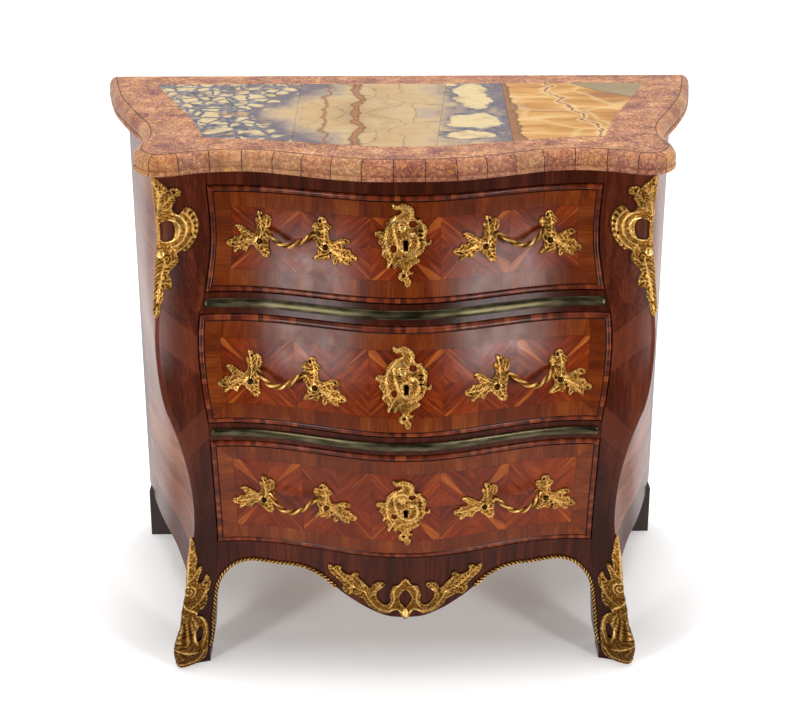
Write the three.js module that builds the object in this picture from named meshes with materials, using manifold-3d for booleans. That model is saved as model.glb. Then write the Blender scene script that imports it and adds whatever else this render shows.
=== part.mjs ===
// Bombé commode chest: a swelling three-drawer case on curved legs, an inlaid stone top
// and cast gilt mounts. Millimetres, +Z up, the front looks along -Y.
import * as THREE from 'three';
import { mergeVertices } from 'three/addons/utils/BufferGeometryUtils.js';
import Module from 'manifold-3d';

const wasm = await Module();
wasm.setup();

// Driving sizes of the case, measured from the back plane (y = 0) and the floor (z = 0)
const apronTop = 209;
const lowerOpeningHeight = 193;
const middleOpeningHeight = 166;
const upperOpeningHeight = 158;
const traverseHeight = 29;
const friezeHeight = 26;
const openingHalfWidth = 285;
const openingFlare = 26;
const stileWidth = 43;
const shoulderBulge = 38;
const sideSplay = 133;
const frontDepth = 535;
const bellyBulge = 47;
const waveInset = 23;
const waveDepth = 60;
const earWidth = 98;
const earReturn = 25;
const arrisRound = 8;

// Widths that follow from them
const waistHalfWidth = openingHalfWidth + stileWidth;
const rearHalfWidth = waistHalfWidth + sideSplay;
const waveHalfWidth = openingHalfWidth - waveInset;

// Clearances and one overrun for every cut
const jointGap = 0.3;
const drawerGap = 1.5;
const runningGap = 0.3;
const guideGap = 1;
const mountGap = 0.8;
const shapedGap = 0.6;
const overrun = 30;

// The drawer openings, one above the other with a traverse between each two
const lowerTop = apronTop + lowerOpeningHeight;
const middleLow = lowerTop + traverseHeight;
const middleTop = middleLow + middleOpeningHeight;
const upperLow = middleTop + traverseHeight;
const upperTop = upperLow + upperOpeningHeight;
const carcaseTop = upperTop + friezeHeight;
const openings = {
  upper: { low: upperLow, high: upperTop },
  middle: { low: middleLow, high: middleTop },
  lower: { low: apronTop, high: lowerTop },
};

// Boards, rails and posts of the carcase
const railDepth = 65;
const railBackY = railDepth - frontDepth;
const stileDepth = 93;
const stileBackY = stileDepth - frontDepth;
const levelStep = 27;
const footLevelStep = 19;
const footHeight = 150;
const sideThickness = 20;
const sideRearThickness = 24;
const postWidth = 26;
const postDepth = 45;
const postToeOut = 4;
const sideArchHigh = 98;
const sideRearShare = 0.898;
const sideRearLow = sideArchHigh * sideRearShare;
const sideRearMargin = 5;
const backThickness = 12;
const backInset = 4;
const dustBoardThickness = 12;
const guideThickness = 10;
const apronThickness = 22;
const apronNarrowHeight = 34;
const apronArchHeight = apronTop - apronNarrowHeight;

// The stone top
const stoneOverhang = 29;
const stoneFrontOverhang = 25;
const stoneHalfWidth = rearHalfWidth + stoneOverhang;
const stoneDepth = frontDepth + stoneFrontOverhang;
const stoneThickness = 30;
const fieldDepth = 10;
const fieldJoint = 0.2;

// Drawer boxes
const frontMinThickness = 20;
const frontProud = 3;
const frontEdgeRound = 4;
const drawerSideInset = 6;
const drawerBoard = 10;
const drawerBottomThickness = 8;
const drawerSideDrop = 14;
const drawerBackGap = 4;
const dovetailLength = 9;
const dovetailHeight = 26;
const dovetailSlope = 3;

// Locks
const lockWidth = 62;
const lockBelowKey = 24;
const lockDepth = 14;
const selvedgeWidth = 84;
const selvedgeHeight = 3;
const boltWidth = 20;
const boltDepth = 6;
const boltAboveKey = 11;
const boltTravel = 9;
const keyholeRadius = 3.6;
const keyholeSlot = 5.6;
const keyholeLength = 15;

// Handles: two leaf plates, a twisted bow and two bolts in one casting
const handleHalfSpan = 48;
const plateThickness = 4;
const bowRadius = 4;
const bowStand = 25;
const bowSag = 19;
const bowSetback = 8;
const bowHalfSpan = handleHalfSpan - bowSetback;
const boltHeadRadius = 4.5;
const boltHeadStand = 3;
const boltHeadThickness = 4.5;
const shankRadius = 2.5;
const shankGap = 0.75;
const shankEnd = 1;
const nutRadius = 6.5;
const nutThickness = 5;
const nutSeatRadius = 9;
const nutSeatDepth = 3;

// Other mounts
const escutcheonHalfWidth = 43;
const escutcheonHeight = 119;
const chuteHeight = 202;
const chuteLap = 12;
const chuteWidth = stileWidth + chuteLap;
const chuteDrop = 9;
const chuteTop = carcaseTop - chuteDrop;
const sabotHeight = 220;
const sabotLap = 3;
const sabotWidth = stileWidth + sabotLap;
const sabotToeStand = 9;
const apronMountHalfWidth = 118;
const apronMountHeight = 84;
const apronMountDrop = 106;
const apronMountLow = apronTop - apronMountDrop;
const castingThickness = 3.2;
const castingCrown = 3;
const stripHeight = 13;
const stripStand = 4;
const edgingWidth = 4.5;

// Materials
function finish(color, roughness, metalness) {
  return new THREE.MeshStandardMaterial({ color, roughness, metalness });
}
const frontVeneer = finish(0x8a3a1c, 0.3, 0);
const stileVeneer = finish(0x5a2a22, 0.3, 0);
const sideVeneer = finish(0x7a3f2c, 0.25, 0);
const pine = finish(0xb48a5c, 0.7, 0);
const darkPost = finish(0x241a15, 0.6, 0);
const giltBronze = finish(0xc9962f, 0.35, 1);
const agedBrass = finish(0x7d7a4c, 0.4, 1);
const iron = finish(0x4a4540, 0.5, 1);
const brocatelle = finish(0xb07f70, 0.25, 0);
const breccia = finish(0x8f8793, 0.25, 0);
const alabaster = finish(0xd8c7a0, 0.25, 0);
const onyx = finish(0xd19a4a, 0.25, 0);

// A smooth curve through rows of [place, value], returned as value(place)
function smoothTable(rows) {
  const slopes = rows.map((row, i) => {
    const before = rows[Math.max(i - 1, 0)];
    const after = rows[Math.min(i + 1, rows.length - 1)];
    return (after[1] - before[1]) / (after[0] - before[0]);
  });
  return (place) => {
    let i = 0;
    while (i < rows.length - 2 && place > rows[i + 1][0]) i += 1;
    const span = rows[i + 1][0] - rows[i][0];
    const t = THREE.MathUtils.clamp((place - rows[i][0]) / span, 0, 1);
    const rise = t * t * (3 - 2 * t);
    const startPull = t * (1 - t) * (1 - t);
    const endPull = t * t * (t - 1);
    const values = rows[i][1] * (1 - rise) + rows[i + 1][1] * rise;
    return values + span * (startPull * slopes[i] + endPull * slopes[i + 1]);
  };
}

// How far the front swells at each share of the height, as a share of bellyBulge
const swellShare = smoothTable([
  [0, 0.11], [0.037, 0.21], [0.148, -0.04], [0.247, 0], [0.321, 0.21], [0.42, 0.66],
  [0.519, 1], [0.617, 1], [0.716, 0.64], [0.815, 0.11], [0.914, -0.106], [1, 0],
]);

// How far each front corner stands out from the waist, as a share of shoulderBulge
const cornerShare = smoothTable([
  [0, 0.79], [0.037, 0.763], [0.062, 0.697], [0.111, 0.579], [0.148, 0.421],
  [0.222, 0.25], [0.296, 0], [0.395, 0], [0.481, 0.237], [0.543, 0.553], [0.568, 0.711],
  [0.617, 0.882], [0.691, 1], [0.741, 0.974], [0.815, 0.868], [0.877, 0.763], [1, 0.842],
]);

// How far the stile's inner edge stands out from the narrowest opening, share of openingFlare
const openingShare = smoothTable([
  [0, 1], [0.025, 0.96], [0.049, 0.73], [0.105, 0.577], [0.16, 0.5], [0.247, 0.323],
  [0.37, 0.292], [0.494, 0.323], [0.531, 0.346], [0.605, 0.615], [0.679, 0.769],
  [0.735, 0.669], [0.772, 0.37], [0.864, 0], [0.963, 0.092], [1, 0.115],
]);

// How far the side has run out from the front corner to the back, by share of its depth
const sideShare = smoothTable([
  [0, 0], [0.1, -0.06], [0.25, 0], [0.41, 0.21], [0.584, 0.51], [0.81, 0.79], [1, 1],
]);

function cornerX(z) {
  return waistHalfWidth + shoulderBulge * cornerShare(z / carcaseTop);
}

function openingX(z) {
  return openingHalfWidth + openingFlare * openingShare(z / carcaseTop);
}

// The serpentine of the front in plan: how far the face falls back from its middle
function planWave(x) {
  const out = Math.abs(x);
  if (out < waveHalfWidth) {
    return (waveDepth / 2) * (1 - Math.cos((Math.PI * out) / waveHalfWidth));
  }
  return waveDepth - earReturn * ((out - waveHalfWidth) / earWidth) ** 2;
}

function frontY(x, z) {
  return planWave(x) - frontDepth - bellyBulge * swellShare(z / carcaseTop);
}

function cornerY(z) {
  return frontY(cornerX(z), z);
}

function sideX(y, z) {
  const share = 1 - y / cornerY(z);
  return cornerX(z) + (rearHalfWidth - cornerX(z)) * sideShare(share);
}

const mix = THREE.MathUtils.lerp;

// Numbers from 0 to 1 in equal steps
function steps(count) {
  return Array.from({ length: count + 1 }, (_, i) => i / count);
}

// Heights from low to high, equally spaced and no further apart than one step
function levels(low, high, step = levelStep) {
  return steps(Math.ceil((high - low) / step)).map((t) => mix(low, high, t));
}

const at = (x, y, z = 0) => new THREE.Vector3(x, y, z);
const at2 = (x, y) => new THREE.Vector2(x, y);

// Turns a solid the right way out when its faces look inwards
function facingOut(positions, index) {
  let volume = 0;
  for (let i = 0; i < index.length; i += 3) {
    const [a, b, c] = index.slice(i, i + 3).map((k) => positions[k]);
    volume += a.dot(b.clone().cross(c));
  }
  if (volume < 0) index.reverse();
  const geometry = new THREE.BufferGeometry().setFromPoints(positions);
  geometry.setIndex(index);
  return geometry;
}

// Triangles that close a ring of points, all turned the way that the ring runs
function capTriangles(ring) {
  const normal = ring.reduce((sum, p, i) => {
    return sum.add(p.clone().cross(ring[(i + 1) % ring.length]));
  }, at(0, 0));
  const size = normal.toArray().map(Math.abs);
  const flat = size.indexOf(Math.max(...size));
  const [u, v] = [0, 1, 2].filter((axis) => axis !== flat);
  const contour = ring.map((p) => at2(p.getComponent(u), p.getComponent(v)));
  const triangles = THREE.ShapeUtils.triangulateShape(contour, []);
  return triangles.map((corners) => corners.sort((a, b) => a - b));
}

// A closed solid through rings that all have the same number of points
function loft(rings) {
  const count = rings[0].length;
  const positions = rings.flat();
  const index = [];
  for (let r = 0; r < rings.length - 1; r += 1) {
    for (let k = 0; k < count; k += 1) {
      const a = r * count + k;
      const b = r * count + ((k + 1) % count);
      index.push(a, b, a + count, b, b + count, a + count);
    }
  }
  const last = (rings.length - 1) * count;
  for (const [i, j, k] of capTriangles(rings[0])) index.push(k, j, i);
  for (const [i, j, k] of capTriangles(rings.at(-1))) index.push(last + i, last + j, last + k);
  return facingOut(positions, index);
}

// An outline in the (x, y) plane raised from one height to another
function upright(points, low, high, holes = []) {
  const shape = new THREE.Shape(points);
  for (const hole of holes) shape.holes.push(new THREE.Path(hole));
  const settings = { depth: high - low, bevelEnabled: false };
  return new THREE.ExtrudeGeometry(shape, settings).translate(0, 0, low);
}

// A box between two corners
function block(low, high) {
  const size = high.clone().sub(low);
  const middle = low.clone().add(high).divideScalar(2);
  return new THREE.BoxGeometry(size.x, size.y, size.z).translate(...middle);
}

// An outline drawn in (x, z) that runs back along y from front to back
function throughDepth(points, front, back) {
  return upright(points.map((p) => at2(p.x, -p.y)), front, back).rotateX(Math.PI / 2)
    .scale(1, -1, -1);
}

// An outline drawn in (y, z) that runs across x from one side to the other
function acrossWidth(points, from, to) {
  return upright(points, from, to).rotateZ(Math.PI / 2).rotateY(Math.PI / 2);
}

function rod(radius, x, z, front, back, sides) {
  const length = back - front;
  return new THREE.CylinderGeometry(radius, radius, length, sides)
    .translate(x, front + length / 2, z);
}

function manifoldOf(geometry) {
  const bare = new THREE.BufferGeometry();
  bare.setAttribute('position', geometry.getAttribute('position').clone());
  if (geometry.index) bare.setIndex(geometry.index.clone());
  const merged = mergeVertices(bare);
  const mesh = new wasm.Mesh({
    numProp: 3,
    vertProperties: new Float32Array(merged.getAttribute('position').array),
    triVerts: new Uint32Array(merged.index.array),
  });
  mesh.merge();
  return new wasm.Manifold(mesh);
}

function geometryOf(manifold) {
  const mesh = manifold.getMesh();
  const geometry = new THREE.BufferGeometry();
  geometry.setAttribute('position', new THREE.BufferAttribute(mesh.vertProperties, 3));
  geometry.setIndex(new THREE.BufferAttribute(mesh.triVerts, 1));
  return geometry;
}

function cut(body, tools) {
  return geometryOf(tools.reduce((left, tool) => left.subtract(manifoldOf(tool)), manifoldOf(body)));
}

function join(pieces) {
  return geometryOf(pieces.map(manifoldOf).reduce((sum, piece) => sum.add(piece)));
}

// The same solid on the other side of the middle plane
function mirrored(geometry) {
  const copy = geometry.index ? geometry.clone() : mergeVertices(geometry.clone());
  copy.scale(-1, 1, 1);
  copy.setIndex(Array.from(copy.index.array).reverse());
  return copy;
}

// Adds a named mesh with a material of its own
function add(parent, name, geometry, material) {
  const clean = geometry.clone();
  clean.deleteAttribute('normal');
  clean.computeVertexNormals();
  const mesh = new THREE.Mesh(clean, material.clone());
  mesh.name = name;
  parent.add(mesh);
  return mesh;
}

// Adds the right piece and its mirror image
function addPair(parent, name, geometry, material) {
  add(parent, `${name}_right`, geometry, material);
  add(parent, `${name}_left`, mirrored(geometry), material);
}

// Front stiles: curved posts that run down into the front legs
const facePoints = 3;

// Levels of the stiles and sides, so that every rail and drawer front meets one of them
const caseLevels = [
  ...levels(0, footHeight, footLevelStep),
  ...levels(footHeight, openings.lower.low).slice(1),
  ...Object.values(openings).reverse().flatMap(({ low, high }, i, all) => {
    const next = i + 1 < all.length ? all[i + 1].low : carcaseTop;
    return [...levels(low, high).slice(1), ...levels(high, next).slice(1)];
  }),
];

// One level of a stile; grow makes it that much larger on its two outer faces
function stileRing(z, grow) {
  const inner = openingX(z);
  const face = steps(facePoints).map((t) => {
    const x = mix(inner, cornerX(z) - arrisRound, t);
    return at(x, frontY(x, z) - grow, z);
  });
  const firstY = cornerY(z) + arrisRound;
  const side = steps(2).map((t) => {
    const y = mix(firstY, stileBackY, t);
    return at(sideX(y, z) + grow, y, z);
  });
  const tip = at(cornerX(z) + grow, cornerY(z) - grow, z);
  const middle = face.at(-1).clone().add(side[0]).divideScalar(2).lerp(tip, 1 / 2);
  return [...face, middle, ...side, at(inner, stileBackY, z)];
}

function stile(grow = 0) {
  return loft(caseLevels.map((z) => stileRing(z, grow)));
}

// Side panels: bombé boards with a shaped lower edge
const sideStations = 7;
const sideRows = 17;
const sideInnerRows = 6;
const sideLowShare = smoothTable([
  [0, 0.305], [0.04, 0.539], [0.1, 0.682], [0.18, 0.781], [0.34, 0.898], [0.45, 0.988],
  [0.545, 1], [0.77, 0.92], [0.9, sideRearShare], [1, sideRearShare],
]);
const sideRearFlatY = -postDepth - sideRearMargin;

function sideInnerX(y, z) {
  const flat = rearHalfWidth - sideRearThickness;
  const ease = THREE.MathUtils.clamp((y - sideRearFlatY) / sideThickness + 1, 0, 1);
  return mix(sideX(y, z) - sideThickness, flat, ease);
}

function sideRing(y) {
  const low = sideArchHigh * sideLowShare(1 - y / stileBackY);
  const outer = steps(sideRows).map((t) => mix(low, carcaseTop, t))
    .map((z) => at(sideX(y, z), y, z));
  const inner = steps(sideInnerRows).map((t) => mix(carcaseTop, low, t))
    .map((z) => at(sideInnerX(y, z), y, z));
  return [...outer, ...inner];
}

function sidePanel() {
  const stations = steps(sideStations).map((t) => mix(stileBackY, sideRearFlatY, t));
  return loft([...stations, 0].map(sideRing));
}

// Rear posts: square legs that step in behind the side panels
function rearPost() {
  const inner = rearHalfWidth - sideRearThickness;
  const outline = [
    at2(inner - postWidth, 0), at2(rearHalfWidth - postToeOut, 0),
    at2(rearHalfWidth - postToeOut, sideRearLow - jointGap), at2(inner, sideRearLow - jointGap),
    at2(inner, carcaseTop), at2(inner - postWidth, carcaseTop),
  ];
  return throughDepth(outline, -postDepth, 0);
}

// Rails between the stiles, shaped to the face of the case
const railStations = 28;

function rail(low, high) {
  return loft(steps(railStations).map((t) => {
    const share = mix(-1, 1, t);
    const column = levels(low, high).map((z) => {
      const x = share * (openingX(z) - shapedGap);
      return at(x, frontY(x, z), z);
    });
    const top = column.at(-1);
    const bottom = column[0];
    return [...column, at(top.x, railBackY, high), at(bottom.x, railBackY, low)];
  }));
}

// The apron, with an arch on each side and a drop in the middle
const apronStations = 36;
const apronRows = 3;
const archEndShare = 0.74;
const archShare = smoothTable([
  [0, 0.5], [0.14, 0.535], [0.242, 0.64], [0.34, 0.8], [0.427, 0.915], [0.538, 0.983],
  [0.69, 0.985], [0.806, 1], [0.89, 0.96], [0.953, 0.875], [1, archEndShare],
]);
const apronArchHalfWidth = openingX(apronArchHeight * archEndShare) - shapedGap;
const archZ = (x) => apronArchHeight * archShare(Math.abs(x) / apronArchHalfWidth);
const apronBackY = (x) => planWave(x) - frontDepth + apronThickness;

function apron() {
  const top = openings.lower.low;
  return loft(steps(apronStations).map((t) => {
    const share = mix(-1, 1, t);
    const low = archZ(share * apronArchHalfWidth);
    const column = steps(apronRows).map((s) => {
      const z = mix(low, top, s);
      const x = share * (openingX(z) - shapedGap);
      return at(x, frontY(x, z), z);
    });
    const high = column.at(-1);
    const foot = column[0];
    return [...column, at(high.x, apronBackY(high.x), top), at(foot.x, apronBackY(foot.x), low)];
  }));
}

// Boards that lie across the case
const backFrontY = -backInset - backThickness;
const drawerHalfWidth = openingHalfWidth - drawerSideInset;
const guideInnerX = drawerHalfWidth + guideGap;
const guideOuterX = guideInnerX + guideThickness;

function dustBoard(top) {
  const low = at(-guideInnerX, railBackY, top - dustBoardThickness);
  return block(low, at(guideInnerX, backFrontY, top));
}

function bottomBoard() {
  const top = openings.lower.low;
  const low = top - dustBoardThickness;
  const front = openingX(low) - shapedGap;
  const edge = steps(railStations / 2).map((t) => {
    const x = front * t;
    return at2(x, apronBackY(x) + jointGap);
  });
  const flank = steps(sideStations).map((t) => {
    const y = mix(stileBackY + jointGap, -postDepth - jointGap, t);
    return at2(Math.min(sideInnerX(y, low), sideInnerX(y, top)) - shapedGap, y);
  });
  const postInner = rearHalfWidth - sideRearThickness - postWidth - jointGap;
  const half = [
    ...edge, at2(front, stileBackY + jointGap), ...flank,
    at2(postInner, -postDepth - jointGap), at2(postInner, backFrontY),
  ];
  const other = half.slice(1).map((p) => at2(-p.x, p.y)).reverse();
  return upright([...half, ...other], low, top);
}

function guidePanel() {
  const low = at(guideInnerX, stileBackY, openings.lower.low);
  return block(low, at(guideOuterX, backFrontY, carcaseTop));
}

function backPanel() {
  const half = rearHalfWidth - sideRearThickness - postWidth;
  return block(at(-half, backFrontY, sideRearLow), at(half, -backInset, carcaseTop));
}

// The stone top: half outline in shares of its half width and depth, then its edge moulding
const stoneHalf = new THREE.CatmullRomCurve3([
  [1, 0], [0.99, 0.054], [0.94, 0.268], [0.878, 0.438], [0.8, 0.63], [0.785, 0.75],
  [0.796, 0.805], [0.79, 0.878], [0.752, 0.93], [0.7, 0.945], [0.606, 0.911], [0.51, 0.893],
  [0.429, 0.898], [0.337, 0.929], [0.224, 0.97], [0.122, 0.995], [0, 1],
].map(([across, deep]) => at(across * stoneHalfWidth, -deep * stoneDepth)), false, 'centripetal');
const stoneStations = 29;

// Moulding of the stone's edge, as [inset share of the thickness, height share]
const mouldingShares = [
  [0.06, 0], [0, 0.08], [0.02, 0.22], [0.09, 0.27], [0.03, 0.4], [0.03, 0.56], [0.1, 0.74],
  [0.22, 0.88], [0.42, 1],
];

function stoneRing(inset, z) {
  const points = stoneHalf.getSpacedPoints(stoneStations);
  const half = points.map((p, i) => {
    const before = points[Math.max(i - 1, 0)];
    const after = points[Math.min(i + 1, stoneStations)];
    const along = after.clone().sub(before).normalize();
    const y = i === 0 ? 0 : p.y - along.x * inset;
    const x = i === stoneStations ? 0 : p.x + along.y * inset;
    return at(x, y, z);
  });
  const other = half.slice(0, -1).map((p) => at(-p.x, p.y, z)).reverse();
  return [...half, ...other];
}

// Half outline of the inlaid field, in shares of the stone's half width and depth
const fieldBack = [0.82, 0.112];
const fieldSideShares = [[0.745, 0.316], [0.655, 0.545], [0.6, 0.75]];
const fieldFrontShares = [[0.47, 0.765], [0.347, 0.793], [0.225, 0.823], [0.11, 0.847]];
const fieldMiddleShare = 0.855;
const seamShares = [[-0.334, -0.334], [0.153, 0.092], [0.34, 0.32]];

// Where the front edge of the field lies at one place across
function fieldFrontShare(across) {
  const ends = [...fieldFrontShares, [0, fieldMiddleShare], fieldSideShares.at(-1)];
  const rows = ends.sort((a, b) => a[0] - b[0]);
  return smoothTable(rows)(Math.abs(across));
}

// A run of places along the front edge of the field, without its two ends
const fieldFrontParts = 5;

function fieldFront(from, to) {
  return steps(fieldFrontParts).slice(1, -1).map((t) => {
    const across = mix(from, to, t);
    return [across, fieldFrontShare(across)];
  });
}

const fieldSide = [fieldBack, ...fieldSideShares];
const fieldSides = [fieldSide.map(([across, deep]) => [-across, deep]), fieldSide];

// Borders of the field stones from left to right, each from the back edge to the front one
const fieldBorders = [
  fieldSides[0],
  ...seamShares.map(([back, front]) => [[back, fieldBack[1]], [front, fieldFrontShare(front)]]),
  fieldSides[1],
];

// The same outline moved inwards by a distance, corner by corner
function shrunk(outline, distance) {
  return outline.map((p, i) => {
    const before = outline[(i + outline.length - 1) % outline.length];
    const after = outline[(i + 1) % outline.length];
    const one = p.clone().sub(before).normalize();
    const two = after.clone().sub(p).normalize();
    const inward = at2(-one.y - two.y, one.x + two.x);
    const reach = distance / Math.max(inward.lengthSq() / 4, 1 / 4);
    return p.clone().add(inward.multiplyScalar(reach / 2));
  });
}

const stonePlace = ([across, deep]) => at2(across * stoneHalfWidth, -deep * stoneDepth);

function fieldStone(i) {
  const [left, right] = [fieldBorders[i], fieldBorders[i + 1]];
  const front = fieldFront(left.at(-1)[0], right.at(-1)[0]);
  return shrunk([...left, ...front, ...[...right].reverse()].map(stonePlace), fieldJoint);
}

function fieldPocket() {
  const front = fieldBorders.slice(1).flatMap((border, i) => {
    const end = border.at(-1);
    const run = fieldFront(fieldBorders[i].at(-1)[0], end[0]);
    return border === fieldSides[1] ? run : [...run, end];
  });
  return [...fieldSides[0], ...front, ...[...fieldSides[1]].reverse()].map(stonePlace);
}

function stoneTop(group) {
  const rings = mouldingShares.map(([inset, rise]) => {
    return stoneRing(inset * stoneThickness, carcaseTop + rise * stoneThickness);
  });
  const top = carcaseTop + stoneThickness;
  const pocket = upright(fieldPocket(), top - fieldDepth, top + overrun);
  add(group, 'marble_slab', cut(loft(rings), [pocket]), brocatelle);
  const stones = [
    ['field_breccia_left', breccia], ['field_alabaster', alabaster],
    ['field_breccia_middle', breccia], ['field_onyx', onyx],
  ];
  stones.forEach(([name, material], i) => {
    add(group, name, upright(fieldStone(i), top - fieldDepth, top), material);
  });
}

// One triangle cut at the given points on its edges
function splitTriangle([a, b, c], [ab, bc, ca]) {
  const cuts = [ab, bc, ca].filter((m) => m !== null).length;
  if (cuts === 0) return [[a, b, c]];
  if (cuts === 3) return [[a, ab, ca], [ab, b, bc], [ca, bc, c], [ab, bc, ca]];
  if (cuts === 1 && ab !== null) return [[a, ab, c], [ab, b, c]];
  if (cuts === 2 && ca === null) return [[a, ab, c], [ab, b, bc], [ab, bc, c]];
  return splitTriangle([b, c, a], [bc, ca, ab]);
}

function distanceToEdge(point, loops) {
  const here = at(point.x, point.y);
  const reaches = loops.flatMap((loop) => loop.map((a, i) => {
    const b = loop[(i + 1) % loop.length];
    const line = new THREE.Line3(at(a.x, a.y), at(b.x, b.y));
    return line.closestPointToPoint(here, true, at(0, 0)).distanceTo(here);
  }));
  return Math.min(...reaches);
}

// The mesh of a casting: its longest edge, and the lines along which it bends round a corner
const castingMesh = 23;
const toeMesh = 20;
const bendLines = [-1, 0, 1].map((share) => share * arrisRound);

// A cast mount laid on a curved surface: skin(u, v, lift) gives places on or above the
// surface, and crown(place, inside) how thick the casting is so far inside its rim
function casting(outline, holes, skin, crown, longest = castingMesh, bends = []) {
  const ccw = THREE.ShapeUtils.isClockWise(outline) ? [...outline].reverse() : outline;
  const cwHoles = holes.map((h) => (THREE.ShapeUtils.isClockWise(h) ? h : [...h].reverse()));
  const loops = [ccw, ...cwHoles].map((loop) => evenLoop(bentLoop(loop, bends), longest));
  const points = loops.flat().map((p) => p.clone());
  const flat = THREE.ShapeUtils.triangulateShape(loops[0], loops.slice(1));
  const bent = bends.reduce((left, x) => {
    return splitEdges(points, left, (a, b) => crossing(a, b, x));
  }, flat);
  const faces = splitInside(points, bent, loops, longest);
  const count = points.length;
  const low = points.map((p) => skin(p.x, p.y, mountGap));
  const high = points.map((p) => {
    const inside = distanceToEdge(p, loops);
    return skin(p.x, p.y, mountGap + crown(p, inside));
  });
  const index = faces.flatMap(([a, b, c]) => [a + count, b + count, c + count, c, b, a]);
  let start = 0;
  for (const loop of loops) {
    loop.forEach((_, i) => {
      const a = start + i;
      const b = start + ((i + 1) % loop.length);
      index.push(a, b, a + count, b, b + count, a + count);
    });
    start += loop.length;
  }
  return facingOut([...low, ...high], index);
}

// Where the straight run from a to b crosses a line of one x, if it does
function crossing(a, b, x) {
  const t = (x - a.x) / (b.x - a.x);
  return t > Number.EPSILON ** 0.5 && t < 1 - Number.EPSILON ** 0.5 ? a.clone().lerp(b, t) : null;
}

// The same loop with a point wherever it crosses a bend
function bentLoop(loop, bends) {
  return bends.reduce((left, x) => left.flatMap((p, i) => {
    const met = crossing(p, left[(i + 1) % left.length], x);
    return met ? [p, met] : [p];
  }), loop);
}

// The same loop with points added along each edge longer than a limit
function evenLoop(loop, longest) {
  return loop.flatMap((p, i) => {
    const next = loop[(i + 1) % loop.length];
    const parts = Math.max(Math.ceil(p.distanceTo(next) / longest), 1);
    return steps(parts).slice(0, -1).map((t) => p.clone().lerp(next, t));
  });
}

// Splits long inner edges and leaves the rim as it is drawn
function splitInside(points, faces, loops, longest) {
  const rim = new Set();
  let start = 0;
  for (const loop of loops) {
    loop.forEach((_, i) => rim.add(edgeKey(start + i, start + ((i + 1) % loop.length))));
    start += loop.length;
  }
  const halfway = (a, b, key) => {
    return rim.has(key) || a.distanceTo(b) <= longest ? null : a.clone().lerp(b, 1 / 2);
  };
  return [0, 1].reduce((left) => splitEdges(points, left, halfway), faces);
}

const edgeKey = (a, b) => `${Math.min(a, b)}_${Math.max(a, b)}`;

// Splits each edge at the place that placeOn gives for it, where it gives one
function splitEdges(points, triangles, placeOn) {
  const added = new Map();
  const split = (a, b) => {
    const key = edgeKey(a, b);
    if (!added.has(key)) {
      const place = placeOn(points[a], points[b], key);
      added.set(key, place ? points.push(place) - 1 : null);
    }
    return added.get(key);
  };
  return triangles.flatMap(([a, b, c]) => {
    return splitTriangle([a, b, c], [split(a, b), split(b, c), split(c, a)]);
  });
}

// Half the stretch over which the slope of a surface is taken
const skinStep = arrisRound / 8;

// A point of the case's front at (x, z), lifted off it by a height
function frontSkin(x, z, lift, proud = 0) {
  const here = at(x, frontY(x, z) - proud, z);
  const across = at(x + skinStep, frontY(x + skinStep, z) - proud, z).sub(here);
  const up = at(x, frontY(x, z + skinStep) - proud, z + skinStep).sub(here);
  return here.add(across.cross(up).normalize().multiplyScalar(lift));
}

// A point round the front corner: u runs from the corner over the face (+) or the side (-)
function cornerPoint(u, z) {
  if (u >= arrisRound) return at(cornerX(z) - u, frontY(cornerX(z) - u, z), z);
  if (u <= -arrisRound) {
    const y = cornerY(z) - u;
    return at(sideX(y, z), y, z);
  }
  const face = cornerPoint(arrisRound, z);
  const side = cornerPoint(-arrisRound, z);
  const t = (arrisRound - u) / (2 * arrisRound);
  const tip = at(cornerX(z), cornerY(z), z);
  const one = face.lerp(tip, t);
  return one.lerp(tip.lerp(side, t), t);
}

function cornerSkin(u, z, lift) {
  const here = cornerPoint(u, z);
  const inward = cornerPoint(u + skinStep, z).sub(cornerPoint(u - skinStep, z));
  const up = cornerPoint(u, z + skinStep).sub(cornerPoint(u, z - skinStep));
  return here.add(up.cross(inward).normalize().multiplyScalar(lift));
}

// A smooth ring of places round an oval
function oval(x, y, halfWidth, halfHeight, count) {
  return steps(count).slice(1).map((t) => {
    const turn = t * Math.PI * 2;
    return at2(x + halfWidth * Math.cos(turn), y + halfHeight * Math.sin(turn));
  });
}

// A table of shares as places, from one corner and two sizes
function places(shares, width, height, x = 0, y = 0) {
  return shares.map(([u, v]) => at2(x + u * width, y + v * height));
}

// A crown that rises from the rim towards the middle of each limb
const rimShare = 0.6;
const crownSlopeShare = 0.5;

function domed(thickness, rise) {
  return (_, inside) => thickness * rimShare + Math.min(inside * crownSlopeShare, rise);
}

// How many sides the pierced holes of the mounts have
const holeSides = 8;
const smallHoleSides = 6;

// Corner mounts: leafy top, crescent shell with an opening, and a long leaf drop
const chuteShares = [
  [0, 1], [-0.06, 0.93], [-0.12, 0.85], [-0.09, 0.72], [-0.12, 0.6], [-0.1, 0.45],
  [-0.13, 0.33], [-0.1, 0.2], [-0.06, 0.08], [0.06, 0], [0.14, 0.08], [0.2, 0.15],
  [0.36, 0.17], [0.33, 0.25], [0.4, 0.29], [0.46, 0.36], [0.62, 0.4], [0.8, 0.44],
  [0.92, 0.5], [1, 0.57], [0.97, 0.66], [0.84, 0.74], [0.68, 0.77], [0.52, 0.72],
  [0.44, 0.76], [0.56, 0.8], [0.72, 0.87], [0.62, 0.9], [0.42, 0.87], [0.3, 0.93],
  [0.14, 0.94],
];
const chuteHoleShare = { x: 0.24, y: 0.58, width: 0.17, height: 0.085 };

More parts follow.
